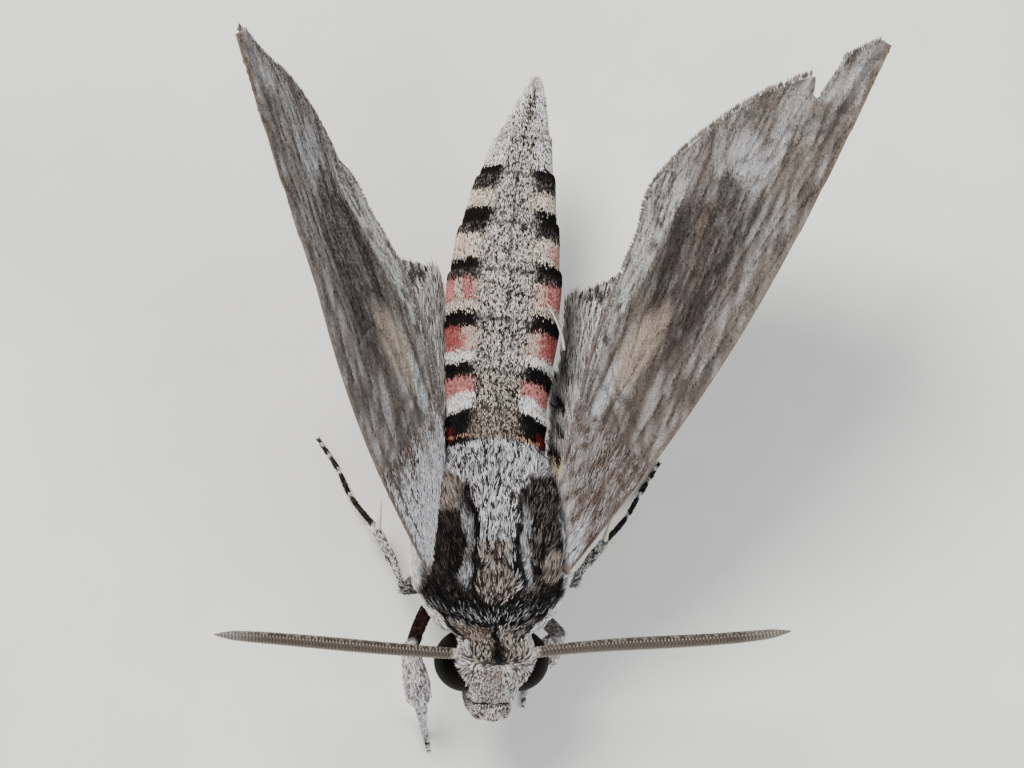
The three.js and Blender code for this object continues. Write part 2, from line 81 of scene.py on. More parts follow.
EYE_CENTRE = np.array([1.95, -7.9, 10.3])
EYE_RADII = np.array([2.3, 2.3, 2.5])
EYE_INNER_FACE = 1.2
PALP_PATH = [[1.05, -8.6, 6.9], [1, -10.3, 7], [0.88, -11.25, 8.6], [0.64, -11.6, 11.1]]
PALP_RADII = [0.55, 0.68, 0.68, 0.48]
MUZZLE_PATH = [[0, -9.4, 7.6], [0, -10.7, 8.1], [0, -11.35, 9.4], [0, -11.6, 11]]  # between the palps
MUZZLE_RADII = [0.6, 0.85, 0.8, 0.68]
TONGUE_CENTRE = np.array([0, -9.7, 6.3])
TONGUE_RADIUS = 1.75
TONGUE_TURNS = 3.6

ANTENNA_PATHS = {
    "left": [[2.4, -7.4, 13.3], [6.5, -6.95, 13.3], [11.2, -6.7, 13.2], [17.6, -6.3, 13.5],
             [20.8, -6.1, 13.8], [21.7, -5.8, 14.2]],
    "right": [[-2.6, -7.4, 13.3], [-6.2, -7.1, 13.3], [-10.5, -6.8, 13.2], [-15.2, -6.2, 13.4],
              [-19.4, -6.1, 13.7], [-20.4, -5.8, 14.1]],
}
ANTENNA_RADII = [[0, 0.42], [0.2, 0.46], [0.45, 0.5], [0.8, 0.45], [0.92, 0.37], [0.97, 0.2], [1, 0.05]]
ANTENNA_RINGS = 74

TEGULA_Y = (-4.1, 6.3)
TEGULA_HALF_WIDTH = 1.75
TEGULA_HALF_DEPTH = 0.95
TEGULA_LEAN = 42.0
TEGULA_CENTRE = (3.75, 15.0)
TEGULA_OUTLINE = [[0, 0.35], [0.18, 0.85], [0.45, 1], [0.8, 0.75], [1, 0.2]]
TEGULA_COAT = 0.34

WING_HINGE = np.array([4.8, -2, 14])
WING_ANGLES = {"left": (54.9, 58.9, -24.7, 0), "right": (67.6, 71.3, -30.1, 22)}  # sweep, lift, pitch, twist
FOREWING_LENGTH = 45.0
TORNUS_ALONG = 27.0
COSTA_BULGE = 2.5
FOREWING_TRAIL = [[0, 3.4], [8, 7.6], [14, 10.8], [19, 12.5], [23, 13.4], [26, 14.9], [28, 14.5], [31, 13.3],
                  [36.3, 9.6], [40.7, 4.9], [43.5, 2.3], [FOREWING_LENGTH, 0.7]]
HINDWING_LEAD = [[1.5, 3], [24.5, 6]]
HINDWING_TRAIL = [[1.5, 5.4], [5, 8.2], [6.7, 9.8], [9, 12.6], [12, 15.3], [14.3, 17], [15.8, 17],
                  [17.4, 15.6], [20, 12.9], [23, 9.8], [24.5, 7.4]]
WING_THICKNESS = 0.16
HINDWING_DROP = 0.95
WING_CAMBER = 0.5
BITE_ALONG = (40.3, 41.9)  # the torn place of the left fore wing, along it and as far in as BITE_ACROSS
BITE_ACROSS = 3.25
WING_CELL, WING_ROWS = 0.2, 60  # a plate's step along, and how many it has across
VEIN_HEIGHT, VEIN_WIDTH, MEMBRANE_SINK = 0.09, 0.13, 0.08

# From hip to toe: hip, end of the coxa, knee, ankle, two bends of the foot, and its tip.
LEG_PATHS = {
    "foreleg_left": [[1.3, -4.2, 6.4], [3.1, -3.9, 4.7], [5.15, -5.9, 9.2], [4.6, -8.7, 4.1],
                     [4.2, -9.8, 1.5], [3.95, -10.4, 0.3], [3.75, -11.6, 0.25]],
    "foreleg_right": [[-1.3, -4.2, 6.4], [-3.2, -3.7, 4.7], [-5.9, -6.9, 8.7], [-4.5, -11.7, 3.7],
                      [-4.1, -12.9, 1.4], [-3.85, -13.6, 0.3], [-3.6, -14.9, 0.25]],
    "midleg_left": [[1.9, -1, 5.8], [3.4, -1.5, 3.8], [6.4, -2.1, 8.5], [9.65, 0.9, 3.5],
                    [11.95, 3.1, 1.1], [13, 4.65, 0.3], [14.65, 7.2, 0.25]],
    "midleg_right": [[-1.9, -1, 5.8], [-3.3, -1.5, 3.8], [-6.15, -2.6, 8.5], [-7.85, 1.9, 3.5],
                     [-9.85, 4.9, 1.1], [-10.6, 6.7, 0.3], [-12.1, 9, 0.25]],
    "hindleg_left": [[2.1, 3.7, 6], [3.5, 4.6, 3.9], [6.6, 6.6, 7.4], [6.3, 12.8, 2.3],
                     [5, 15.6, 0.5], [4.4, 17.2, 0.3], [3.5, 19.6, 0.25]],
    "hindleg_right": [[-2.1, 3.7, 6], [-3.5, 4.6, 3.9], [-6.6, 6.6, 7.4], [-6.5, 12.8, 2.3],
                      [-5.5, 15.6, 0.5], [-5, 17.2, 0.3], [-4.3, 19.6, 0.25]],
}
# Thickness of thigh, shin and foot.
LEG_BULK = {"foreleg": (0.66, 0.78, 1.6), "midleg": (1, 0.31, 1), "hindleg": (1, 0.31, 1)}
SPUR_PLACES = {"foreleg": [], "midleg": [0.97], "hindleg": [0.62, 0.97]}  # shares of the shin
SPUR_LENGTH = 2.5
SPUR_SPREAD = math.radians(34)
FOOT_JOINTS = np.array([0.0, 0.4, 0.64, 0.8, 0.91])  # shares of the foot
THIGH_STEPS, SHIN_STEPS, FOOT_STEPS = 60, 40, 90  # places along each part of a leg's tube
FOOT_START = THIGH_STEPS + SHIN_STEPS - 1
SOLE_HEIGHT = 0.12  # no hair grows on what faces down below this
LOWEST = 0.02  # no tuft or claw goes nearer to the floor
BROW_HEIGHT = 11.4  # hair above this stands out over the eyes
TEGULA_HEIGHT = 11.5  # the tegulae lie above this

# The camera: its target, distance, and tilts in degrees.
CAMERA_TARGET = np.array([1.5245, 12.4446, 11.0])
CAMERA_DISTANCE = 200.0
CAMERA_ROLL = math.radians(8)  # toward the moth's right
CAMERA_FRONT = math.radians(5)  # toward its head
CAMERA_TWIST = math.radians(0.26)
PIXELS_PER_MM = 13.5
FRAME_WIDTH = 1024
SENSOR = 36.0

rng = np.random.default_rng(20261123)
SIDES = {"left": 1, "right": -1}
THINNING = 1  # the share of the tufts that is grown
TONE = 1.18  # the depth of the mid tones


def srgb(red, green, blue):
    """A colour as the eye sees it under the studio lights, 0 to 255, as reflectance."""
    value = np.array([red, green, blue]) / 255
    return np.where(value <= 0.04045, value / 12.92, ((value + 0.055) / 1.055) ** 2.4) ** TONE


WHITE = srgb(240, 237, 235)
CREAM = srgb(224, 213, 198)
PALE = srgb(198, 190, 184)
GREY = srgb(146, 137, 131)
BROWN = srgb(101, 86, 76)
DARK = srgb(52, 43, 39)
BLACK = srgb(17, 14, 14)
PINK = srgb(204, 142, 138)
ROSE = srgb(180, 106, 104)
RED = srgb(104, 38, 38)
ASH = srgb(204, 204, 207)

# ---------------------------------------------------------------- helpers


def clamp(value):
    return np.clip(value, 0, 1)


def hermite(t, start, end, leaving, arriving):
    """The cubic from start to end with the given slopes at them."""
    rise = end - start
    squared, cubed = 3 * rise - 2 * leaving - arriving, leaving + arriving - 2 * rise
    return start + t * (leaving + t * (squared + t * cubed))


def profile(pairs):
    """A smooth curve through [place, value] pairs that never overshoots them, for arrays of places."""
    x, y = np.array(pairs, float).T
    slope = np.diff(y) / np.diff(x)
    tangent = np.concatenate(([slope[0]], np.zeros(len(x) - 2), [slope[-1]]))
    before, after = slope[:-1], slope[1:]
    steady = before * after > 0
    tangent[1:-1][steady] = 2 * before[steady] * after[steady] / (before + after)[steady]

    def at(place_on):
        place_on = np.asarray(place_on, float)
        i = np.clip(np.searchsorted(x, place_on, side="right") - 1, 0, len(x) - 2)
        span = x[i + 1] - x[i]
        t = clamp((place_on - x[i]) / span)
        return hermite(t, y[i], y[i + 1], tangent[i] * span, tangent[i + 1] * span)

    return at


def unit(vectors):
    return vectors / np.maximum(np.linalg.norm(vectors, axis=-1, keepdims=True), 1e-9)


def mixed(first, second, share):
    return first + (second - first) * np.asarray(share)[..., None]


def band(value, low, high, soft):
    """1 between low and high, falling to 0 over soft outside them."""
    return clamp((value - low) / soft + 1) * clamp((high - value) / soft + 1)


def lumps(points, size, seed=0):
    """Smooth noise from 0 to 1 with lumps of that size, at places given on the last axis: each corner of a
    lattice has its own value, from a hash of its whole numbers, and they are blended between the corners."""
    scaled = np.asarray(points, float) / size
    cell = np.floor(scaled).astype(np.int64)
    t = scaled - cell
    t = t * t * (3 - 2 * t)
    total = np.zeros(scaled.shape[:-1])
    for corner in np.ndindex(*([2] * scaled.shape[-1])):
        key = np.full(total.shape, seed * 7919 + 17, np.int64)
        weight = np.ones(total.shape)
        for axis, step in enumerate(corner):
            key = (key * 374761393 + (cell[..., axis] + step) * 668265263) & 0x7FFFFFFF
            key ^= key >> 13
            weight = weight * np.where(step, t[..., axis], 1 - t[..., axis])
        key = (key * 1274126177) & 0x7FFFFFFF
        total += weight * ((key ^ (key >> 16)) & 0xFFFF) / 0xFFFF
    return total


body_low, body_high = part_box("thorax")
ORIGIN = np.array([(body_low[0] + body_high[0]) / 2, body_high[1] - THORAX_REAR * 0.001, 0])


def place(points):
    """Millimetres in the body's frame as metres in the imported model's frame."""
    return np.asarray(points) * 0.001 + ORIGIN


def in_scene(name, data):
    thing = bpy.data.objects.new(name, data)
    bpy.context.scene.collection.objects.link(thing)
    return thing


def make_piece(name, points, quads, tris, material, colours=None, uvs=None, smooth=True):
    """A mesh object that rides on the body. uvs are per corner: all quads' corners, then all triangles'."""
    quads = np.asarray(quads, np.int32).reshape(-1, 4)
    tris = np.asarray(tris, np.int32).reshape(-1, 3)
    corners = np.concatenate([quads.ravel(), tris.ravel()])
    starts = np.concatenate([np.arange(len(quads)) * 4, len(quads) * 4 + np.arange(len(tris)) * 3])
    mesh = bpy.data.meshes.new(name)
    mesh.vertices.add(len(points))
    mesh.vertices.foreach_set("co", place(points).astype(np.float32).ravel())
    mesh.loops.add(len(corners))
    mesh.loops.foreach_set("vertex_index", corners)
    mesh.polygons.add(len(starts))
    mesh.polygons.foreach_set("loop_start", starts.astype(np.int32))
    mesh.update(calc_edges=True)
    mesh.polygons.foreach_set("use_smooth", np.full(len(starts), smooth))
    if colours is not None:
        layer = mesh.attributes.new("coat", "FLOAT_COLOR", "POINT")
        opaque = np.column_stack([colours, np.ones(len(colours))])
        layer.data.foreach_set("color", opaque.astype(np.float32).ravel())
    if uvs is not None:
        layer = mesh.uv_layers.new(name="OFBake")
        layer.data.foreach_set("uv", np.asarray(uvs, np.float32).ravel())
    mesh.validate()
    mesh.materials.append(material)
    piece = in_scene(name, mesh)
    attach(piece, "root")
    return piece


def ring_faces(rings, sides):
    """Quads between rings of corners, each running on from the last."""
    corner = np.arange(sides)
    starts = np.arange(rings - 1)[:, None] * sides
    here, beside = starts + corner, starts + (corner + 1) % sides
    return np.stack([here, beside, beside + sides, here + sides], axis=-1).reshape(-1, 4)


def closed_loft(rings, sides, ends, way=-1):
    """Corners, quads and end triangles of a form with rings of corners and a point at each end. way is the
    sense in which the corners run, -1 or 1."""
    corner = np.arange(sides)
    edges = np.stack([corner, (corner + 1) % sides], axis=-1)
    front = np.insert(edges[:, ::-way], 0, len(rings), axis=1)
    rear = np.insert(edges[:, ::way] + len(rings) - sides, 0, len(rings) + 1, axis=1)
    quads = ring_faces(len(rings) // sides, sides)[:, ::way]
    return np.concatenate([rings, ends]), quads, np.concatenate([front, rear])


def smooth_path(points, count):
    """count places at even steps along a smooth curve through the points."""
    points = np.array(points, float)
    lengths = np.linalg.norm(np.diff(points, axis=0), axis=1)
    at = np.concatenate([[0], np.cumsum(lengths)])
    tangents = np.gradient(points, at, axis=0)
    fine = np.linspace(0, at[-1], 40 * len(points))
    i = np.clip(np.searchsorted(at, fine, side="right") - 1, 0, len(points) - 2)
    span = (at[i + 1] - at[i])[:, None]
    t = (fine - at[i])[:, None] / span
    curve = hermite(t, points[i], points[i + 1], tangents[i] * span, tangents[i + 1] * span)
    run = np.concatenate([[0], np.cumsum(np.linalg.norm(np.diff(curve, axis=0), axis=1))])
    even = np.linspace(0, run[-1], count)
    return np.column_stack([np.interp(even, run, curve[:, k]) for k in range(3)])


def path_frames(path, up=(0, 0, 1)):
    """Forward, across and over directions along a path, turning as little as the path does."""
    forward = unit(np.gradient(path, axis=0))
    across = np.zeros_like(forward)
    side = np.cross(forward[0], up)
    for i, way in enumerate(forward):
        side = unit(side - way * side.dot(way))
        across[i] = side
    return forward, across, np.cross(across, forward)


def tube(path, radii, sides, up=(0, 0, 1)):
    """A closed tube along a path, with a radius for each place on it."""
    _, across, over = path_frames(path, up)
    angle = np.linspace(0, 2 * np.pi, sides, endpoint=False)
    rim = across[:, None] * np.cos(angle)[None, :, None] + over[:, None] * np.sin(angle)[None, :, None]
    rings = (path[:, None] + rim * radii[:, None, None]).reshape(-1, 3)
    return closed_loft(rings, sides, path[[0, -1]])


def joined(parts):
    """Several (corners, quads, triangles) as one."""
    first = np.cumsum([0] + [len(points) for points, _, _ in parts])
    points, quads, tris = zip(*parts)
    return (np.concatenate(points), np.concatenate([faces + start for faces, start in zip(quads, first)]),
            np.concatenate([faces + start for faces, start in zip(tris, first)]))


# ---------------------------------------------------------------- materials


def new_material(name, **settings):
    """A material, its node tree and its shader, with the shader's sockets set from keywords."""
    material = bpy.data.materials.new(name)
    material.use_nodes = True
    shader = material.node_tree.nodes["Principled BSDF"]
    for socket, value in settings.items():
        shader.inputs[socket.replace("_", " ")].default_value = value
    return material, material.node_tree, shader


def noise_node(tree, scale, detail):
    """A noise texture on object coordinates, in lumps per metre."""
    coordinates = tree.nodes.new("ShaderNodeTexCoord")
    noise = tree.nodes.new("ShaderNodeTexNoise")
    noise.inputs["Scale"].default_value = scale
    noise.inputs["Detail"].default_value = detail
    noise.inputs["Roughness"].default_value = 0.6
    tree.links.new(coordinates.outputs["Object"], noise.inputs["Vector"])
    return noise.outputs["Fac"]


def ramp_node(tree, source, low, high, place_low=0.3, place_high=0.7):
    ramp = tree.nodes.new("ShaderNodeValToRGB")
    for element, position, colour in zip(ramp.color_ramp.elements, (place_low, place_high), (low, high)):
        element.position = position
        element.color = (*colour, 1)
    tree.links.new(source, ramp.inputs["Fac"])
    return ramp.outputs["Color"]


def add_bump(tree, shader, height, strength, distance):
    bump = tree.nodes.new("ShaderNodeBump")
    bump.inputs["Strength"].default_value = strength
    bump.inputs["Distance"].default_value = distance
    tree.links.new(height, bump.inputs["Height"])
    tree.links.new(bump.outputs["Normal"], shader.inputs["Normal"])


def painted_material(name, roughness, grain_scale, grain, bump, specular, sheen=0.0):
    """The 'coat' colour of each place, with fine grain in its brightness and surface."""
    material, tree, shader = new_material(name, Roughness=roughness, Specular_IOR_Level=specular,
                                          Sheen_Weight=sheen, Sheen_Roughness=0.4)
    colour = tree.nodes.new("ShaderNodeAttribute")
    colour.attribute_name = "coat"
    noise = noise_node(tree, grain_scale, 3)
    multiply = tree.nodes.new("ShaderNodeMix")
    multiply.data_type = "RGBA"
    multiply.blend_type = "MULTIPLY"
    multiply.inputs["Factor"].default_value = 1
    tree.links.new(colour.outputs["Color"], multiply.inputs["A"])
    tree.links.new(ramp_node(tree, noise, [grain[0]] * 3, [grain[1]] * 3), multiply.inputs["B"])
    tree.links.new(multiply.outputs["Result"], shader.inputs["Base Color"])
    if bump:
        add_bump(tree, shader, noise, bump, 0.00008)
    return material


def eye_material():
    """Dark, wet-looking and netted with fine facets."""
    material, tree, shader = new_material("eye", Roughness=0.5, Specular_IOR_Level=0.04)
    shade = ramp_node(tree, noise_node(tree, 700, 4), srgb(7, 5, 5), srgb(26, 16, 13), 0.42, 0.78)
    tree.links.new(shade, shader.inputs["Base Color"])
    coordinates = tree.nodes.new("ShaderNodeTexCoord")
    facets = tree.nodes.new("ShaderNodeTexVoronoi")
    facets.inputs["Scale"].default_value = 9000
    tree.links.new(coordinates.outputs["Object"], facets.inputs["Vector"])
    add_bump(tree, shader, facets.outputs["Distance"], 0.35, 0.00003)
    return material


COAT = painted_material("coat", 0.66, 9000, grain=(0.86, 1.1), bump=0, specular=0.1, sheen=0.02)
SKIN = painted_material("skin", 0.8, 4200, grain=(0.55, 1.2), bump=0.6, specular=0.2)
WING = painted_material("wing", 0.66, 5200, grain=(0.6, 1.25), bump=0.5, specular=0.3, sheen=0.2)
HORN = painted_material("horn", 0.42, 3000, grain=(0.8, 1.15), bump=0.25, specular=0.5)
EYE = eye_material()

# ---------------------------------------------------------------- trunk, tegulae, palps and legs

edge_bow = profile(EDGE_BOW)  # how far each edge across the back curves forward at the sides
half_width = profile(HEAD_HALF_WIDTH + BODY_HALF_WIDTH)
top_height = profile(HEAD_TOP + BODY_TOP)
bottom_height = profile(HEAD_BOTTOM + BODY_BOTTOM)
bend = profile(BODY_BEND)
squareness = profile(SQUARENESS)
coat_depth = profile(COAT_DEPTH)
LEAN_SINE, LEAN_COSINE = math.sin(math.radians(BODY_LEAN)), math.cos(math.radians(BODY_LEAN))


def section(y):
    """Middle, half width, middle height, reach up and reach down of the coat's surface at y."""
    top, bottom = top_height(y), bottom_height(y)
    middle = bottom + WIDEST * (top - bottom)
    return bend(y), half_width(y), middle, top - middle, middle - bottom


def segment_at(y):
    """Which ring of the abdomen a place is in, from 0, and its share along it."""
    i = np.clip(np.searchsorted(SEGMENT_ENDS, y, side="right") - 1, 0, len(SEGMENT_ENDS) - 2)
    return i, (y - SEGMENT_ENDS[i]) / (SEGMENT_ENDS[i + 1] - SEGMENT_ENDS[i])


def trunk_loft(sides=80, step=0.16):
    """The flesh of head, collar, thorax and abdomen, inside the coat by its depth."""
    y = np.arange(HEAD_FRONT + 0.2, SEGMENT_ENDS[-1] - 0.1, step)
    x, wide, middle, up, down = section(y)
    _, share = segment_at(y)
    ridge = np.where(y > THORAX_REAR, 0.17 * clamp(share) ** 2, 0)
    inset = coat_depth(y) - ridge
    angle = np.linspace(0, 2 * np.pi, sides, endpoint=False)
    reach = np.where(np.sin(angle) > 0, up[:, None], down[:, None]) - inset[:, None]
    fullness = (2 / squareness(y))[:, None]
    cosine, sine = (np.sign(wave) * np.abs(wave) ** fullness for wave in (np.cos(angle), np.sin(angle)))
    rings = np.stack([
        x[:, None] + (wide - inset)[:, None] * cosine,
        y[:, None] - edge_bow(y)[:, None] * np.cos(angle) ** 2,
        middle[:, None] + reach * sine,
    ], axis=-1).reshape(-1, 3)
    ends = np.array([[x[0], y[0] - 0.05, middle[0]], [x[-1], y[-1] + 0.05, middle[-1]]])
    return closed_loft(rings, sides, ends)


def tegula_loft(side, sides=32, steps=40):
    """The flap over a wing's root, on the left for side 1."""
    t, angle = np.meshgrid(np.linspace(0, 1, steps), np.linspace(0, 2 * np.pi, sides, endpoint=False),
                           indexing="ij")
    outline = profile(TEGULA_OUTLINE)(t)
    lean = math.radians(TEGULA_LEAN)
    u = (TEGULA_HALF_WIDTH * outline - TEGULA_COAT) * np.cos(angle)
    v = (TEGULA_HALF_DEPTH * np.sqrt(outline) - TEGULA_COAT) * np.sin(angle) - 0.9 * (2 * t - 1) ** 2
    out = side * (TEGULA_CENTRE[0] + u * math.cos(lean) + v * math.sin(lean))
    over = TEGULA_CENTRE[1] - u * math.sin(lean) + v * math.cos(lean) - AXIS_HEIGHT
    y = TEGULA_Y[0] + TEGULA_COAT + t * (TEGULA_Y[1] - TEGULA_Y[0] - 2 * TEGULA_COAT)
    rings = np.stack([out * LEAN_COSINE - over * LEAN_SINE, y,
                      out * LEAN_SINE + over * LEAN_COSINE + AXIS_HEIGHT], axis=-1)
    return closed_loft(rings.reshape(-1, 3), sides, rings[[0, -1]].mean(axis=1), way=1)


def blended_tube(points, radii, steps=40):
    """A path and its radii, at even steps through a few given ones."""
    given = np.stack([np.linspace(0, 1, len(radii)), radii], axis=-1)
    return smooth_path(points, steps), profile(given)(np.linspace(0, 1, steps))


def leg_tube(points, ham, calf, toe):
    """One leg from hip to toe: its path and radii, waisted between the joints of the foot."""
    thigh = smooth_path(points[:3], THIGH_STEPS)
    shin = smooth_path(points[2:4], SHIN_STEPS)[1:]
    foot = smooth_path(points[3:], FOOT_STEPS)[1:]
    profiles = ([[0, 0.82], [0.45, 0.62 * ham], [0.62, 0.6 * ham], [1, 0.38]],
                [[0, 0.3], [0.2, 0.7 * calf], [0.6, calf], [0.74, 0.95 * calf], [0.9, 0.3], [1, 0.27]],
                [[0, 0.24 * toe], [0.4, 0.2 * toe], [0.9, 0.19], [1, 0.14]])
    paths = (thigh, shin, foot)
    radii = [profile(pairs)(np.linspace(0, 1, len(path))) for pairs, path in zip(profiles, paths)]
    share = np.linspace(0, 1, len(foot))
    to_joint = np.abs(share[:, None] - FOOT_JOINTS[None, 1:]).min(axis=1)
    radii[2] = radii[2] * (1 - 0.28 * np.exp(-((to_joint / 0.018) ** 2)))
    return np.concatenate(paths), np.concatenate(radii)


# Tubes of flesh: name -> (path, radii) at even steps along each.
TUBES = {f"palp_{name}": blended_tube(np.array(PALP_PATH) * [hand, 1, 1], PALP_RADII)
         for name, hand in SIDES.items()}
TUBES["palp_between"] = blended_tube(MUZZLE_PATH, MUZZLE_RADII)
TUBES.update({name: leg_tube(points, *LEG_BULK[name.split("_")[0]]) for name, points in LEG_PATHS.items()})


def fused(points, quads, tris, voxel, rounds):
    """One closed skin around overlapping forms: its corners and quads, in millimetres."""
    mesh = bpy.data.meshes.new("fused")
    mesh.from_pydata(points.tolist(), [], quads.tolist() + tris.tolist())
    body = in_scene("fused", mesh)
    remesh = body.modifiers.new("remesh", "REMESH")
    remesh.mode = "VOXEL"
    remesh.voxel_size = voxel
    soften = body.modifiers.new("soften", "SMOOTH")
    soften.factor = 0.5
    soften.iterations = rounds
    made = bpy.data.meshes.new_from_object(body.evaluated_get(bpy.context.evaluated_depsgraph_get()))
    corners = np.zeros(len(made.vertices) * 3, np.float32)
    made.vertices.foreach_get("co", corners)
    loops = np.zeros(len(made.loops), np.int32)
    made.loops.foreach_get("vertex_index", loops)
    bpy.data.objects.remove(body)
    bpy.data.meshes.remove(mesh)
    bpy.data.meshes.remove(made)
    return corners.reshape(-1, 3).astype(float), loops.reshape(-1, 4)


flesh = [trunk_loft()] + [tegula_loft(hand) for hand in SIDES.values()]
flesh += [tube(path, radii, 20) for path, radii in TUBES.values()]
skin_points, skin_quads = fused(*joined(flesh), voxel=0.15, rounds=2)

corner_sets = [skin_points[skin_quads[:, k]] for k in range(4)]
diagonals = np.cross(corner_sets[2] - corner_sets[0], corner_sets[3] - corner_sets[1])
skin_normals = np.zeros_like(skin_points)
for k in range(4):
    np.add.at(skin_normals, skin_quads[:, k], diagonals)
skin_normals = unit(skin_normals)

# ---------------------------------------------------------------- which part of the body a place is on

TRUNK, TEGULA, PALP, LEG = range(4)


class Places:
    """Places on the skin, each with its part of the body, its tube or -1, and its step along that tube."""

    def __init__(self, points, part, tube_index, step):
        self.points, self.part, self.tube_index, self.step = points, part, tube_index, step

    def __getitem__(self, chosen):
        return Places(self.points[chosen], self.part[chosen], self.tube_index[chosen], self.step[chosen])

    def shifted(self, points):
        return Places(points, self.part, self.tube_index, self.step)


def nearest_on_tube(points, path, radii):
    """Distance from a tube's surface, and the nearest of the places along it."""
    gap = np.full(len(points), 99.0)
    place_on = np.zeros(len(points), int)
    low, high = path.min(axis=0) - 1.5, path.max(axis=0) + 1.5
    near = np.flatnonzero(((points > low) & (points < high)).all(axis=1))
    for chunk in np.array_split(near, max(1, len(near) // 4000)):
        away = np.linalg.norm(points[chunk][:, None] - path[None], axis=-1) - radii[None]
        place_on[chunk] = away.argmin(axis=1)
        gap[chunk] = away.min(axis=1)
    return gap, place_on


def parts_of(points):
    """The part each place of the skin belongs to, with its tube and its step along it."""
    y = points[:, 1]
    x, wide, middle, up, down = section(y)
    inset = coat_depth(y)
    rise = points[:, 2] - middle
    reach = np.where(rise > 0, up, down) - inset
    power = squareness(y)
    off = np.abs((points[:, 0] - x) / (wide - inset))
    girth = (off**power + np.abs(rise / reach) ** power) ** (1 / power)
    trunk_gap = (girth - 1) * np.minimum(wide - inset, reach)
    part = np.full(len(points), TRUNK)
    tube_index = np.full(len(points), -1)
    step = np.zeros(len(points), int)
    best = np.abs(trunk_gap)
    for index, (name, (path, radii)) in enumerate(TUBES.items()):
        gap, place_on = nearest_on_tube(points, path, radii)
        closer = (np.abs(gap) < best) & (trunk_gap > 0.06)
        part[closer] = PALP if name.startswith("palp") else LEG
        tube_index[closer] = index
        step[closer] = place_on[closer]
        best = np.where(closer, np.abs(gap), best)
    beside = (y > TEGULA_Y[0]) & (y < TEGULA_Y[1]) & (points[:, 2] > TEGULA_HEIGHT)
    part[(part == TRUNK) & beside & (trunk_gap > 0.12)] = TEGULA
    return Places(points, part, tube_index, step)


def straight(points):
    """Places with the back's lean undone: side offset from the mid-line, and angle from it in degrees."""
    x, wide, middle, up, down = section(points[:, 1])
    out = points[:, 0] * LEAN_COSINE + (points[:, 2] - AXIS_HEIGHT) * LEAN_SINE - x
    over = (points[:, 2] - AXIS_HEIGHT) * LEAN_COSINE - points[:, 0] * LEAN_SINE + AXIS_HEIGHT - middle
    return out, np.degrees(np.arctan2(out / wide, over / np.where(over > 0, up, down)))


def place_along(points):
    """Where each place lies along the body, with the bow of the edges across it undone."""
    _, angle = straight(points)
    return points[:, 1] + edge_bow(points[:, 1]) * np.sin(np.radians(angle)) ** 2


# ---------------------------------------------------------------- the skin's unwrap

MARGIN = 0.03
TRUNK_CHART = (0.57, 0.94)  # width and height; the trunk is rolled out
TUBE_CHART_LEFT, TUBE_CHART_WIDTH, TUBE_CHART_HEIGHT = 0.65, 0.31, 0.094  # one strip for each tube
TUFT_PATCH = 0.0015  # half the width of the patch that each tuft has to itself


def unwrap(at):
    """Where each place lies on the unwrap."""
    _, angle = straight(at.points)
    along = (at.points[:, 1] - HEAD_FRONT) / (SEGMENT_ENDS[-1] - HEAD_FRONT)
    uv = np.stack([angle / 360 + 0.5, along], axis=-1) * TRUNK_CHART + MARGIN
    for index, (path, _) in enumerate(TUBES.values()):
        mine = np.flatnonzero(at.tube_index == index)
        _, across, over = path_frames(path)
        step = at.step[mine]
        away = at.points[mine] - path[step]
        turn = np.arctan2((away * over[step]).sum(axis=1), (away * across[step]).sum(axis=1))
        bottom = MARGIN + index * (TUBE_CHART_HEIGHT + 0.01)
        uv[mine, 0] = TUBE_CHART_LEFT + TUBE_CHART_WIDTH * step / len(path)
        uv[mine, 1] = bottom + TUBE_CHART_HEIGHT * (turn / (2 * np.pi) + 0.5)
    return uv


skin_at = parts_of(skin_points)
skin_corner_uv = unwrap(skin_at)[skin_quads]
# A face that crosses the seam of a rolled-out strip takes the side where its lowest corner is.
for axis, span in ((0, TRUNK_CHART[0]), (1, TUBE_CHART_HEIGHT)):
    ordinate = skin_corner_uv[:, :, axis]
    spread = np.ptp(ordinate, axis=1)
    crossing = (spread > span * 0.5) & (spread < span * 1.1)
    beyond = ordinate > ordinate.min(axis=1, keepdims=True) + span * 0.5
    ordinate[crossing[:, None] & beyond] -= span

# ---------------------------------------------------------------- markings of the body

# On the sides of each ring of the abdomen, from its front: [from, to, colour], black between them.
SIDE_BANDS = [
    [],
    [[0.05, 0.49, WHITE], [0.49, 0.86, PINK]],
    [[0.19, 0.38, WHITE], [0.38, 0.82, ROSE]],
    [[0.17, 0.36, CREAM], [0.36, 0.79, PINK]],
    [[0.22, 0.74, CREAM]],
    [[0.32, 0.66, CREAM]],
    [[0.28, 1.01, PALE]],
    [[0.0, 1.01, PALE]],
]
BAR_REACH = 112  # degrees from the mid-line to the lower end of the side bands
STRIPE_EDGES = np.array([27, 27, 27, 29, 30, 29, 28, 25])  # degrees from the mid-line, for each ring
HAIR_STRIPE = profile([[-3.6, 0], [-3.45, 0.65], [-3.1, 1.15], [-2.1, 1.5], [-0.7, 1.36], [0.8, 1.28],
                       [2.2, 1.4], [3.7, 1.55], [4.6, 2.0], [5.1, 2.5], [6.5, 3.3], [7.9, 3.7]])
FORE_LIMB = (srgb(112, 104, 104), srgb(230, 227, 226), 0.3, 0.56)
OTHER_LIMB = (DARK * 1.2, WHITE * 0.78, 0.36, 0.6)
CROWN_MIDDLE = profile([[-8.2, 0.4], [-7.6, 0.6], [-6.8, 0.5], [-6.2, 0.25]])


def grain_of(points, fuzz, size=0.12, stretch=2.4, seed=20, share=0.6):
    """Variation from strand to strand, 0 to 1: fine streaks along the body, and each tuft's own chance."""
    streaks = lumps(points / np.array([1, stretch, 1]), size, seed)
    return clamp(0.5 + (streaks - 0.5) * (1 - share) * 2.2 + 0.34 * fuzz * share * 1.5)


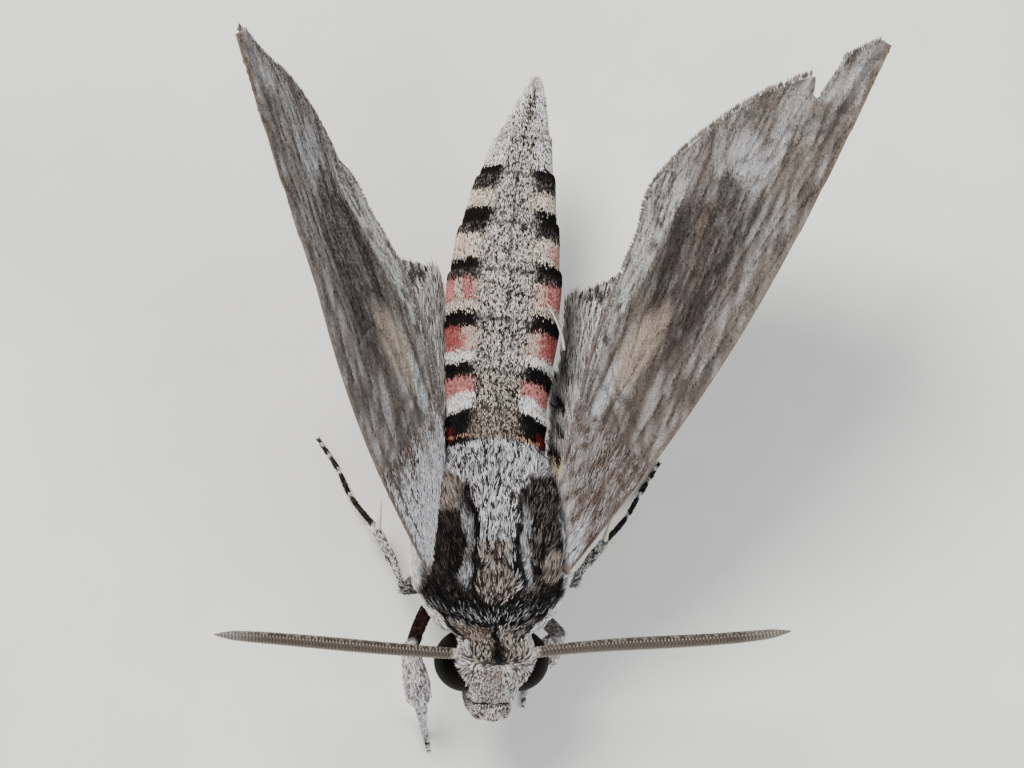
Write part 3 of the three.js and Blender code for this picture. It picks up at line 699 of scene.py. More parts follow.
def strands(grain, dark, light, low=0.35, high=0.62):
    """Dark strands below low, light ones above high."""
    return mixed(dark, light, clamp((grain - low) / (high - low)))


def fill(colour, chosen, grain, dark, light, low, high):
    """Strands in place of the colour where chosen."""
    colour[chosen] = strands(grain[chosen], dark, light, low, high)


def laid(colour, tint, share):
    """A tint laid over a colour by a share for each place."""
    return mixed(colour, np.broadcast_to(tint, colour.shape), share)


def combed(colour, share, grain, *look):
    """Strands laid over a colour by a share for each place."""
    return mixed(colour, strands(grain, *look), share)


def abdomen_colour(points, fuzz):
    out, angle = straight(points)
    ragged = lumps(points / np.array([1, 0.5, 1]), 0.22, 1) - 0.5 + 0.25 * fuzz
    soft = lumps(points, 1.1, 14) - 0.5
    ring, share = segment_at(place_along(points) + 0.09 * out)
    share = share + 0.12 * ragged + 0.05 * fuzz
    turn = np.abs(angle) + 9 * ragged + 6 * fuzz + 8 * soft
    grain = grain_of(points, fuzz, 0.1, 1.6, share=0.75)
    colour = strands(grain, BLACK * 0.6, DARK * np.where(ring < 2, 0.5, 0.9)[:, None], 0.55, 0.95)
    for index, bands in enumerate(SIDE_BANDS):
        for low, high, tint in bands:
            within = (ring == index) & (share >= low) & (share < high)
            fill(colour, within, grain, tint * 0.42, tint, 0.28, 0.54)
    rear = (ring >= 3) & (ring < 6) & (share > 0.8 - 0.12 * (ring == 5))
    fill(colour, rear, grain, BLACK, GREY * 0.9, 0.5, 0.9)
    # Cream runs into the coloured bands beside the back's stripe, and splits one of them.
    flank = (ring == 2) & (share > 0.4) & (share < 0.8)
    colour = laid(colour, CREAM * 0.8, 0.75 * flank * clamp((47 - turn) / 8))
    blush = (ring == 4) & (share > 0.3) & (share < 0.62) & (turn > 52) & (turn < 98)
    colour = laid(colour, PINK, blush * np.where(out > 0, 0.7, 0.28))
    right_angle = angle * np.sign(out) * (out < 0)
    split = (ring == 3) & (share > 0.34) & (share < 0.8) & (np.abs(right_angle - 56) < 6 + 3 * ragged)
    colour = laid(colour, CREAM * 0.8, 0.8 * split)
    inner = (ring == 3) & (share > 0.2) & (share < 0.8)
    colour = laid(colour, CREAM * 0.8, 0.8 * inner * clamp((np.where(out > 0, 44, 36) - turn) / 5))
    colour[(ring >= 3) & (colour.sum(axis=1) > 0.45) & (grain < 0.27)] = DARK * 1.6
    fill(colour, (ring >= 6) & (share > 0.2), grain, DARK * 1.4, WHITE * 0.88, 0.24, 0.5)
    # The first ring: dark red at the sides, and a fine orange arch in front.
    dark_red = (ring == 0) & (turn > 55) & (turn < 118) & (share > 0.12) & (share < 0.62)
    fill(colour, dark_red, grain, RED * 0.45, RED * 1.5, 0.3, 0.8)
    arch = (ring == 0) & (np.abs(share - 0.21 - 0.04 * ragged) < 0.034) & (turn > 17) & (turn < 58)
    fill(colour, arch, grain, BROWN, srgb(192, 153, 128), 0.1, 0.4)
    back = strands(grain, DARK * 1.1, srgb(214, 208, 202), 0.36, 0.64)
    fill(back, ring == 0, grain, DARK, srgb(168, 158, 148), 0.36, 0.66)
    fill(back, ring == 1, grain, DARK, srgb(196, 187, 178), 0.4, 0.66)
    seam = (np.abs(out) < 0.1) * (lumps(points / np.array([1, 2.0, 1]), 0.5, 10) > 0.45)
    back = laid(back, DARK, 0.7 * seam) * (0.8 + 0.36 * lumps(points, 1.6, 15))[:, None]
    colour = mixed(colour, back, clamp((STRIPE_EDGES[ring] + 4 - turn) / 8))
    colour = laid(colour, BLACK, 0.7 * (((share > 0.965) | (share < 0.01)) & (ring < 7)))
    belly = strands(grain, GREY * 0.8, PALE, 0.3, 0.55)
    spot = (np.abs(np.abs(angle) - 172) < 7) & (np.abs(share - 0.45) < 0.16) & (ring > 0)
    colour = mixed(colour, laid(belly, DARK, 0.8 * spot), clamp((turn - BAR_REACH) / 8))
    return laid(colour, CREAM, 0.45 * clamp((points[:, 1] - 34.3) / 0.8))


def thorax_colour(points, fuzz):
    out, angle = straight(points)
    y = points[:, 1]
    side = np.abs(out)
    on_left = out > 0
    grain = grain_of(points, fuzz)
    soft = lumps(points / np.array([1, 2.0, 1]), 0.9, 21) - 0.5
    edge = side - HAIR_STRIPE(np.maximum(y, -3.6)) - 0.3 * soft - 0.06 * fuzz + 2 * clamp(-3.5 - y)
    # Grey hair down the middle, bluish behind and brown in front, with a dark seam.
    hair = strands(grain, DARK, ASH, 0.38, 0.64)
    warm = band(y, -3.7, 0.2, 1.0) * band(np.abs(out + 0.25), -1, 1.1, 0.6)
    hair = combed(hair, 0.9 * warm, grain, DARK, srgb(172, 161, 150), 0.4, 0.66)
    hair = hair * (1 - 0.12 * band(y, -3.6, 0.6, 1.4))[:, None]
    seam = band(np.abs(out + 0.1 + 0.3 * soft), -1, 0.08, 0.08) * band(y, -3.5, 1.4, 0.6)
    hair = laid(hair, srgb(58, 42, 36), 0.8 * seam)
    # The flaps: brown-black, with paler hair here and there.
    flap = np.where(on_left[:, None], srgb(116, 108, 103), srgb(78, 70, 65))
    colour = strands(grain, BLACK, flap, 0.5, 0.88)
    pale = np.where(on_left, band(side, 3.7, 4.5, 0.4) * band(y, -2.1, -0.3, 0.6),
                    band(side, 2.9, 4.4, 0.6) * band(y, 3.4, 5.2, 0.7))
    colour = combed(colour, 0.85 * pale, grain, BROWN * 0.6, srgb(156, 146, 138), 0.3, 0.6)
    # Pale streaks between the flaps and the black outline of the middle hair.
    streak = band(edge, 0.42, 0.85, 0.25) * band(y, -1.9, 2.6, 0.9) * np.clip(0.85 + 1.4 * soft, 0.4, 1)
    colour = combed(colour, 0.85 * streak, grain, GREY * 0.5, srgb(176, 178, 181), 0.32, 0.62)
    # Outer sides and the hair behind the flaps.
    behind = clamp((y - 5.3 + 1.2 * soft) / 0.8) * clamp((edge + 0.2) / 0.5)
    outer = np.maximum(clamp((side - 4.75 + 0.6 * soft) / 0.3), behind)
    colour = combed(colour, outer, grain, GREY * 0.6, srgb(200, 198, 200), 0.3, 0.55)
    colour = mixed(hair, colour, clamp(edge / 0.1 + 0.5))
    colour = laid(colour, BLACK, 0.95 * band(edge, 0.02, 0.34, 0.1) * band(y, -4.3, 3.2, 1.0))
    # In front, black hair tipped with grey, then a black line, and the collar.
    front = clamp((-3.3 + 0.075 * side**2 + 0.3 * soft - y) / 0.3) * clamp((edge + 0.1) / 0.2)
    colour = combed(colour, front, grain, BLACK, srgb(74, 70, 68), 0.58, 0.9)
    front_line = y + 5.08 - 0.07 * side**2 + 0.15 * soft
    hoary = band(front_line, 0.2, 0.72, 0.18) * front * np.clip((3.4 - side) / 1.4, 0.25, 1)
    colour = combed(colour, 0.8 * hoary, grain, BLACK, srgb(170, 167, 165), 0.5, 0.74)
    colour = laid(colour, BLACK, band(front_line, -0.14, 0.18, 0.08))
    collar = strands(grain, DARK, srgb(168, 160, 154), 0.42, 0.68)
    collar = laid(collar, srgb(118, 100, 90), 0.5 * band(out, -2.2, -0.7, 0.5) * band(y, -6.8, -5.4, 0.4))
    # A second black line, and outside it the white edge that runs from the wing to the eye.
    slope, rim_side, rim_y = (np.where(on_left, left, right)
                              for left, right in ((1.19, 1.46), (3.7, 4.1), (-3.99, -3.56)))
    beyond = (rim_y - slope * (rim_side - side) - y) / np.sqrt(1 + slope**2)
    collar = laid(collar, BLACK, 0.8 * band(front_line, -0.62, -0.5, 0.06) * band(out, 0.6, 3.2, 0.4))
    collar = laid(collar, BLACK, 0.9 * band(beyond, -0.1, 0.12, 0.08) * (side > 1.5))
    collar = laid(collar, BLACK, band(np.abs(out + 0.05), -1, 0.14 + 0.16 * clamp(-5.4 - y), 0.12))
    colour = mixed(colour, collar, clamp((-0.1 - front_line) / 0.1))
    rim = band(beyond, 0.18, 1.3, 0.1) * (y < -2.9) * (side > 2.0)
    colour = combed(colour, rim, grain, GREY * 0.6, WHITE, 0.28, 0.5)
    edge_hair = clamp((side - 4.85 + 0.3 * soft) / 0.3) * band(y, -3.8, 1.2, 0.8)
    colour = combed(colour, edge_hair, grain, GREY, WHITE * 0.92, 0.16, 0.42)
    below = clamp((np.abs(angle) - 98) / 14)
    return combed(colour, below, grain, GREY * 0.9, WHITE * 0.9, 0.25, 0.5)


def snout_colour(points, fuzz):
    """Short mottled hair of the face and palps: grey, browner down the middle, and plum-grey at the tip."""
    y = points[:, 1]
    off = points[:, 0] + 0.2
    grain = grain_of(points, fuzz, 0.1, 1.0, 31, share=0.7)
    colour = strands(grain, srgb(88, 80, 76), srgb(214, 210, 206), 0.36, 0.62)
    warm = band(np.abs(off), -1, 0.5, 0.5) * band(y, -10.3, -8.7, 0.5)
    colour = laid(colour, srgb(132, 114, 104), 0.45 * warm)
    plum = band(np.abs(off), -1, 0.9, 0.5) * band(y, -12.0, -10.9, 0.4)
    colour = combed(colour, 0.6 * plum, grain, srgb(100, 84, 84), srgb(206, 196, 194), 0.38, 0.6)
    line = band(y + 10.72 - 0.1 * off**2, -0.05, 0.05, 0.08) * band(np.abs(off), -1, 0.8, 0.3)
    return laid(colour, DARK * 1.5, 0.38 * line)


def head_colour(points, fuzz):
    _, angle = straight(points)
    y = points[:, 1]
    side = np.abs(points[:, 0] - 0.05)
    grain = grain_of(points, fuzz, 0.12, 1.2, 30)
    crown = strands(grain, DARK, srgb(172, 163, 155), 0.37, 0.64)
    middle = strands(grain, BLACK, srgb(112, 102, 88), 0.45, 0.9)
    middle = laid(middle, BLACK, 0.85 * band(side, -1, 0.2, 0.2))
    crown = mixed(middle, crown, clamp((side - CROWN_MIDDLE(y) - 0.25 * fuzz) / 0.5 + 0.5))
    arc = y + 8.3 - 0.09 * side**2  # the front edge of the crown
    colour = mixed(snout_colour(points, fuzz), crown, clamp(arc / 0.15 + 0.5))
    colour = combed(colour, 0.6 * band(arc, -0.16, 0.02, 0.1), grain, GREY * 0.8, WHITE * 0.92, 0.3, 0.55)
    temple = band(side, 2.35, 9, 0.2) * band(y, -8.4, -5.8, 0.4) * (points[:, 2] > 12)
    colour = combed(colour, 0.75 * temple, grain, GREY * 0.5, WHITE * 0.85, 0.34, 0.6)
    return combed(colour, clamp((np.abs(angle) - 96) / 12), grain, BROWN, PALE, 0.3, 0.6)


def tube_colour(at, fuzz):
    grain = grain_of(at.points, fuzz, 0.12, 1.0, 40)
    colour = snout_colour(at.points, fuzz)
    for index, name in enumerate(TUBES):
        mine = at.tube_index == index
        if name.startswith("palp"):
            continue
        step, shade = at.step[mine], grain[mine]
        fore = name.startswith("fore")
        share = (step - FOOT_START) / FOOT_STEPS
        look = FORE_LIMB if fore else OTHER_LIMB
        inner = (band(step, 26, 52, 4) if name == "foreleg_right" else 0.35) * (step < THIGH_STEPS)
        limb = combed(strands(shade, *look), inner, shade, BLACK, srgb(84, 56, 48), 0.3, 0.85)
        after_joint = share[:, None] - FOOT_JOINTS[None]
        rings = ((after_joint > -0.01) & (after_joint < 0.028)).any(axis=1)
        toe = strands(shade, BLACK, srgb(96, 88, 74), 0.42, 0.9)
        fill(toe, rings, shade, GREY, WHITE, 0.2, 0.5)
        if fore:
            toe = combed(toe, 0.9 * clamp((0.82 - share) / 0.16), shade, GREY, srgb(222, 222, 226), 0.2, 0.5)
        colour[mine] = np.where((step >= FOOT_START)[:, None], toe, limb)
    return colour


def regions_of(at):
    """The places on the abdomen, the thorax from the collar back, and the head."""
    y = place_along(at.points)
    trunk = at.part == TRUNK
    return (trunk & (y >= THORAX_REAR), trunk & (y < THORAX_REAR) & (y >= COLLAR_FRONT),
            trunk & (y < COLLAR_FRONT))


def body_colour(at, fuzz):
    """The coat's colour at each place. fuzz, about -1 to 1, roughens the edges from tuft to tuft."""
    colour = np.zeros((len(at.points), 3))
    abdomen, thorax, head = regions_of(at)
    for mine, paint in ((abdomen, abdomen_colour), (thorax | (at.part == TEGULA), thorax_colour),
                        (head, head_colour)):
        colour[mine] = paint(at.points[mine], fuzz[mine])
    limbs = at.part >= PALP
    colour[limbs] = tube_colour(at[limbs], fuzz[limbs])
    return colour


FLESH_NODES = ["head", "collar", "thorax"] + [f"abdomen_{i}" for i in range(1, 9)]
FLESH_NODES += [f"{node}_{side}" for node in ("tegula", "palp") for side in SIDES]
FLESH_NODES += [f"{pair}leg_{side}_{bone}" for pair in ("fore", "mid", "hind") for side in SIDES
                for bone in ("femur", "tibia", "tarsus")]

# The skin takes the coat's markings darkened to 0.6, as painted shade deep in the coat between the tufts.
shaded_skin_colour = body_colour(skin_at, np.zeros(len(skin_points))) * 0.6
skin = make_piece("skin", skin_points, skin_quads, [], SKIN, shaded_skin_colour, skin_corner_uv.reshape(-1, 2))
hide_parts(*FLESH_NODES)

# ---------------------------------------------------------------- coat

TUFTS_IN_PIECE = 32000
# A scale's corners: its root, its two sides, the ridge between them, and its tip.
SCALE_FACES = np.array([[0, 1, 2], [0, 3, 1], [0, 2, 3], [1, 4, 2], [1, 3, 4], [3, 2, 4]])
SCALE_PATCH = np.array([[0, -1], [-1, 0], [1, 0], [0, 0], [0, 1]]) * TUFT_PATCH


def tufts(roots, normals, lie, length, width, lift, uv, colour, tip_colour):
    """Solid lancet-shaped scales that rise from their roots and bend back to the lie."""
    lie = unit(lie - normals * (lie * normals).sum(axis=1, keepdims=True))
    lift = np.radians(lift)[:, None]
    rise = unit(lie * np.cos(lift) + normals * np.sin(lift))
    across = unit(np.cross(rise, normals))
    length, half = length[:, None], width[:, None] / 2
    middle = roots + rise * length * 0.55
    corners = np.stack([
        roots - normals * 0.06,
        middle - across * half,
        middle + across * half,
        middle + normals * half * 0.8,
        middle + lie * length * 0.45,
    ], axis=1)
    corners[:, :, 2] = np.maximum(corners[:, :, 2], LOWEST)
    # Each scale's corner colours: the root darkened to 0.3 as painted shade among the tufts, the two sides at
    # 0.86 as painted shade and the raised ridge at 1.08 as a painted highlight; the tip takes tip_colour.
    body = mixed(colour, tip_colour, 0.25)
    painted_shading = np.stack([colour * 0.3, body * 0.86, body * 0.86, body * 1.08, tip_colour], axis=1)
    faces = SCALE_FACES + 5 * np.arange(len(roots))[:, None, None]
    corner_uv = (uv[:, None] + SCALE_PATCH)[:, SCALE_FACES.ravel()]
    return {"points": corners.reshape(-1, 3), "quads": [], "tris": faces, "material": COAT,
            "colours": painted_shading.reshape(-1, 3), "uvs": corner_uv}


def coat_pieces(name, slot, **growth):
    """Makes the tufts, in as many pieces as keep each one small."""
    count = len(growth["roots"])
    parts = math.ceil(count / TUFTS_IN_PIECE)
    order = np.argsort(growth["roots"][:, 1], kind="stable")
    for number, chosen in enumerate(np.array_split(order, parts), 1):
        made = tufts(**{key: values[chosen] for key, values in growth.items()})
        piece = make_piece(f"{name}_{number}" if parts > 1 else name, **made, smooth=False)


def swirl(points, size, seed):
    """A smooth random direction at each place, so that neighbouring tufts lie in locks."""
    return np.stack([lumps(points, size, seed + k) - 0.5 for k in range(3)], axis=-1) * 2


def lie_of(at):
    """Which way the hair lies at each place."""
    y = at.points[:, 1]
    out = at.points[:, 0] - bend(y)
    lie = np.tile([0.0, 1.0, 0.0], (len(y), 1))
    lie[:, 0] += 0.06 * out * ((y < THORAX_REAR) & (y > COLLAR_FRONT))
    lie[:, 0] += 0.22 * out * band(y, COLLAR_FRONT, COLLAR_REAR, 0.5)
    # It turns forward over the crown, and stands out to the side over the eyes.
    head = (y < -7.4) & (at.part == TRUNK)
    forward = clamp(-7.6 - y)[head]
    lie[head, 1] = 1 - 2 * forward
    lie[head, 2] = -0.35 * forward
    lie[head, 0] += 0.25 * np.sign(out[head]) * (1 - np.abs(2 * forward - 1))
    brow = (at.part == TRUNK) & (y < -6.3) & (at.points[:, 2] > BROW_HEIGHT)
    lie[brow, 0] += np.sign(out[brow]) * clamp((np.abs(out[brow]) - 1.6) / 0.7)
    for index, (path, _) in enumerate(TUBES.values()):
        mine = at.tube_index == index
        lie[mine] = unit(np.gradient(path, axis=0))[at.step[mine]]
    return lie


def style_of(at):
    """Tufts per square millimetre, and their length, width and lift in degrees, at each place."""
    y = place_along(at.points)
    _, angle = straight(at.points)
    side = np.abs(at.points[:, 0])
    abdomen, thorax, head = regions_of(at)
    leg, collar = at.part == LEG, (at.part == TRUNK) & (y < COLLAR_REAR) & (y >= COLLAR_FRONT)
    abdomen_length = profile([[8, 0.42], [20, 0.36], [30, 0.36], [34, 0.6], [35.3, 0.7]])(y)
    thorax_length = profile([[-6.4, 0.75], [-4.6, 0.9], [-2, 0.95], [5, 1.1], [7, 0.9], [8.1, 0.45]])(y)
    head_length = profile([[HEAD_FRONT, 0.34], [-9, 0.4], [-7, 0.58], [-6.4, 0.7]])(y)
    # Where, density, length, width and lift. Rows overrule those above them; None leaves a value alone.
    rows = [
        (at.part >= TRUNK, 80, 0.46, 0.1, 14),
        (abdomen, 125, abdomen_length, 0.08, None),
        (abdomen & (np.abs(angle) > 100), 45, 0.5, 0.13, None),
        (thorax, 85, thorax_length, 0.085, 18),
        (thorax & (side > 4.7) & (y > -4.2) & (y < 1.6), 90, 1.25, None, 34),
        (thorax & (y < -3.4) & (side > 2.6), None, 1.0, None, 32),
        (thorax & (np.abs(angle) > 95), 60, 1.05, None, 21),
        (at.part == TEGULA, 90, 0.95, 0.085, 14),
        (collar, None, None, None, 24),
        (head, 140, head_length, 0.075, 24),
        (head & (side > 1.9) & (at.points[:, 2] > BROW_HEIGHT), 180, 0.8, None, None),
        (at.part == PALP, 160, 0.38, 0.07, 24),
        (leg, 90, 0.42, 0.07, 17),
        (leg & (at.points[:, 1] < -4.5), 110, 0.68, None, 24),
        (leg & (at.step < THIGH_STEPS), None, 0.6, None, 19),
        (leg & (at.step >= FOOT_START), 115, 0.22, 0.065, 13),
    ]
    style = np.zeros((4, len(y)))
    for where, *values in rows:
        for line, value in zip(style, values):
            if value is not None:
                line[where] = np.broadcast_to(value, y.shape)[where]
    return style


face_at = skin_at[skin_quads[:, 0]].shifted(sum(corner_sets) / 4)
density = style_of(face_at)[0]
wanted = np.linalg.norm(diagonals, axis=1) / 2 * density * THINNING
number = np.floor(wanted + rng.random(len(wanted))).astype(int)
grown = np.repeat(np.arange(len(skin_quads)), number)
u, v = rng.random((2, len(grown)))
shares = np.stack([(1 - u) * (1 - v), u * (1 - v), u * v, (1 - u) * v], axis=-1)
roots = sum(corner_sets[k][grown] * shares[:, k : k + 1] for k in range(4))
normals = unit(sum(skin_normals[skin_quads[grown, k]] * shares[:, k : k + 1] for k in range(4)))

# None grow in an eye, or on the sole of a foot.
mirrored = np.abs(roots) * [1, 0, 0] + roots * [0, 1, 1]
in_eye = np.linalg.norm((mirrored - EYE_CENTRE) / (EYE_RADII + 0.04), axis=1) < 1
kept = ~(in_eye & (mirrored[:, 0] > EYE_INNER_FACE)) & ~((roots[:, 2] < SOLE_HEIGHT) & (normals[:, 2] < -0.2))
at, normals = face_at[grown].shifted(roots)[kept], normals[kept]
roots, count = at.points, len(at.points)

fuzz = np.clip(rng.normal(0, 0.5, count), -1.2, 1.2)
lie = unit(lie_of(at))
_, length, width, lift = style_of(at)
lock = lumps(roots, 0.7, 60)
length = length * (0.75 + 0.35 * lock + 0.25 * rng.random(count))
width = width * (0.8 + 0.5 * rng.random(count))
lift = lift * (0.4 + 0.8 * lock + 0.5 * rng.random(count))
# A scale has the colour of the place that its outer end covers.
shown = at.shifted(roots + lie * (0.6 * length)[:, None] * (at.part[:, None] <= PALP))
coat_colour = body_colour(shown, fuzz)
coat_colour = coat_colour * np.clip(rng.normal(1, 0.14, (count, 1)), 0.6, 1.45)
# Each tip is 1.12 times brighter as a painted highlight; a few tips in front are ash grey, as the hair there
# is tipped with grey.
tip_colour = coat_colour * 1.12
in_front = (at.part == TRUNK) & (shown.points[:, 1] > COLLAR_FRONT) & (shown.points[:, 1] < -3.2)
tip_colour[in_front & (rng.random(count) < 0.07)] = ASH
lie = lie + 0.45 * swirl(roots, 0.8, 50) * (at.part[:, None] != LEG) + rng.normal(0, 0.14, roots.shape)
growth = {"roots": roots, "normals": normals, "lie": lie, "length": length, "width": width, "lift": lift,
          "uv": unwrap(at), "colour": coat_colour, "tip_colour": tip_colour}

abdomen, thorax, head = regions_of(at)
for name, slot, chosen in (
    ("coat_head", "grey_fur", head | (at.part == PALP)),
    ("coat_thorax", "grey_fur", thorax),
    ("coat_tegulae", "dark_fur", at.part == TEGULA),
    ("coat_abdomen", "abdomen_fur", abdomen),
    ("coat_legs", "leg", at.part == LEG),
):
    coat_pieces(name, slot, **{key: values[chosen] for key, values in growth.items()})

# ---------------------------------------------------------------- eyes, tongue, feelers, spurs and claws

for side_name, hand in SIDES.items():
    turns, rows = 72, 44
    spin, tilt = np.meshgrid(np.linspace(0, 2 * np.pi, turns, endpoint=False), np.linspace(0, np.pi, rows))
    ball = np.stack([np.cos(tilt), np.sin(tilt) * np.cos(spin), np.sin(tilt) * np.sin(spin)], axis=-1)
    globe = ball.reshape(-1, 3) * EYE_RADII + EYE_CENTRE
    globe[:, 0] = np.maximum(globe[:, 0], EYE_INNER_FACE + 0.3)
    faces = ring_faces(rows, turns)[:, ::-hand]
    eye = make_piece(f"eye_ball_{side_name}", globe * [hand, 1, 1], faces, [], EYE)
    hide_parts(f"eye_{side_name}")

turn = np.linspace(0, TONGUE_TURNS * 2 * np.pi, 260)
wound = np.linspace(TONGUE_RADIUS - 0.28, 0.3, len(turn))
coil = TONGUE_CENTRE + np.stack([0 * turn, -wound * np.sin(turn), wound * np.cos(turn)], axis=-1)
tongue_radii = np.linspace(0.25, 0.1, len(turn)) * (1 + 0.06 * np.sin(np.arange(len(turn)) * 1.6))
points, quads, tris = tube(coil, tongue_radii, 14, up=(1, 0, 0))
tint = mixed(srgb(92, 52, 30), srgb(150, 98, 60), lumps(points, 0.4, 70))
tongue = make_piece("tongue_coil", points, quads, tris, HORN, tint)
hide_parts("proboscis")

for side_name, control in ANTENNA_PATHS.items():
    steps, sides = ANTENNA_RINGS * 5, 16
    control = np.array(control)
    out = np.linspace(control[0, 0], control[-1, 0], steps)
    cubics = [np.polyfit(control[:, 0], control[:, k], 3) for k in (1, 2)]
    path = np.stack([out] + [np.polyval(cubic, out) for cubic in cubics], axis=-1)
    path[:, 2] -= 0.3 * np.exp(-np.abs(out - control[0, 0]) / 1.2)
    share = np.linspace(0, 1, steps)
    ring = (share * ANTENNA_RINGS) % 1
    radii = profile(ANTENNA_RADII)(share) * (0.84 + 0.16 * np.sin(np.pi * ring) ** 0.6)
    points, quads, tris = tube(path, radii, sides)
    along = np.concatenate([np.repeat(np.arange(steps), sides), [0, steps - 1]])
    away = unit(points - path[along])
    share, rib = share[along], np.sin(np.pi * ring[along]) ** 0.8
    grain = lumps(points, 0.13, 71)
    # Brown rings, nearly black in the grooves between them as painted shade; pale scales on the rear, a pale
    # front edge and tip, and grey hair on the base.
    tone = mixed(srgb(22, 17, 13), srgb(84, 69, 54), rib)
    scaled = 0.5 * clamp((0.85 * away[:, 1] + 0.3 * away[:, 2] - 0.68) / 0.14)
    tone = combed(tone, scaled, grain, srgb(38, 32, 28), srgb(168, 162, 154), 0.46, 0.7)
    tone = laid(tone, srgb(164, 152, 128), 0.6 * clamp((-away[:, 1] - 0.88) / 0.08))
    tone = laid(tone, srgb(176, 172, 166), 0.4 * clamp((share - 0.8) / 0.15) * rib)
    base = 0.8 * clamp((0.05 - share) / 0.02) * clamp(away[:, 2] * 2)
    tone = combed(tone, base, grain, GREY * 0.6, PALE, 0.35, 0.65)
    feeler = make_piece(f"feeler_{side_name}", points, quads, tris, HORN, tone)
    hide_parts(f"antenna_{side_name}")

SPUR_COLOUR, CLAW_COLOUR, LONG_HAIR_COLOUR = srgb(216, 209, 192), srgb(40, 26, 20), srgb(222, 216, 204)
spikes, spike_colours = [], []


def add_spike(colour, root, way, length, radius, bow, steps=12):
    """A tapering point, bowed by the last vector."""
    t = np.linspace(0, 1, steps)[:, None]
    path = root + unit(way) * length * t + bow * t**2
    spikes.append(tube(path, radius * (1 - 0.9 * t[:, 0] ** 1.3), 10, up=(0.3, 0.2, 1)))
    spike_colours.append(np.tile(colour, (len(spikes[-1][0]), 1)))


UP = np.array([0, 0, 1])
for leg_name, leg_points in LEG_PATHS.items():
    pair, side_name = leg_name.split("_")
    knee, ankle, ball, toe = np.array(leg_points)[[2, 3, -2, -1]]
    down = unit(ankle - knee)
    across = unit(np.cross(down, UP))
    for share in SPUR_PLACES[pair]:
        for hand in (-1, 1):
            inner = hand * SIDES[side_name] < 0
            if inner:
                way = down * 0.6 + (UP - down * down[2]) * 1.05 + across * hand * 0.5
            else:
                way = down * math.cos(SPUR_SPREAD) + across * hand * math.sin(SPUR_SPREAD)
            add_spike(SPUR_COLOUR, knee + (ankle - knee) * share, way, SPUR_LENGTH * (1 if inner else 0.7),
                      0.24, bow=down * 0.15)
    forward = unit(toe - ball)
    for hand in (-1, 1):
        way = forward * 0.85 + np.cross(forward, UP) * hand * 0.5
        add_spike(CLAW_COLOUR, toe - forward * 0.12, way, 0.36, 0.07, bow=UP * -0.14)
# One long pale hair stands out from the left side of the abdomen.
hair_root, hair_tip, hair_bow = np.array([[5.2, 14.9, 12.4], [3.4, 18.3, 14.9], [-1.3, 0.3, 0.3]])
hair_way = hair_tip - hair_root - hair_bow
add_spike(LONG_HAIR_COLOUR, hair_root, hair_way, np.linalg.norm(hair_way), 0.13, hair_bow, steps=24)
points, quads, tris = joined(spikes)
points[:, 2] = np.maximum(points[:, 2], LOWEST)
claws = make_piece("spurs_and_claws", points, quads, tris, HORN, np.concatenate(spike_colours))

# ---------------------------------------------------------------- wings

# Veins, as [along, across] points.
FORE_VEINS = [
    [[0, 0.6], [8, -0.6], [18, -1.5], [30, -1.9]],
    [[0, 1.1], [10, 0.5], [20, 0.4], [27, -0.2], [34, -1.6]],
    [[20, 0.4], [30, -0.1], [38, -0.9]],
    [[20, 0.4], [32, 0.4], [42.5, -0.2]],
    [[20, 0.9], [32, 1.2], [44.6, 0.3]],
    [[20, 1.5], [32, 2.2], [43.3, 2.3]],
    [[20, 2.6], [30, 4], [41.7, 4]],
    [[19.6, 3.7], [29, 6], [39.3, 6.7]],
    [[18, 4.6], [27, 8], [36.6, 9.4]],
    [[14, 5], [23, 9], [33.4, 11.8]],
    [[10, 4.6], [18, 8.8], [29.8, 13.9]],
    [[0, 1.8], [10, 4.6], [18, 4.6], [19.6, 3.7], [20, 2.6], [20, 0.9], [20, 0.4]],
    [[0, 2.6], [8, 6.4], [18, 11.2], [26.4, 14.7]],
]
HIND_VEINS = [
    [[1.5, 3.6], [12, 5], [23.6, 6.4]],
    [[1.5, 4], [10, 7.4], [17, 9], [22.4, 10.4]],
    [[8, 6.8], [14, 9.6], [20.6, 12.2]],
    [[6, 6.4], [12, 10.2], [18.6, 14]],
    [[4, 5.6], [9, 9.2], [16.2, 15]],
    [[2.5, 5.2], [6, 8], [12.4, 13.4]],
]
WING_GROUND = srgb(126, 118, 112)
WING_SILVER = srgb(180, 179, 179)
WING_DARK = srgb(56, 48, 44)
WING_BROWN = srgb(112, 96, 84)
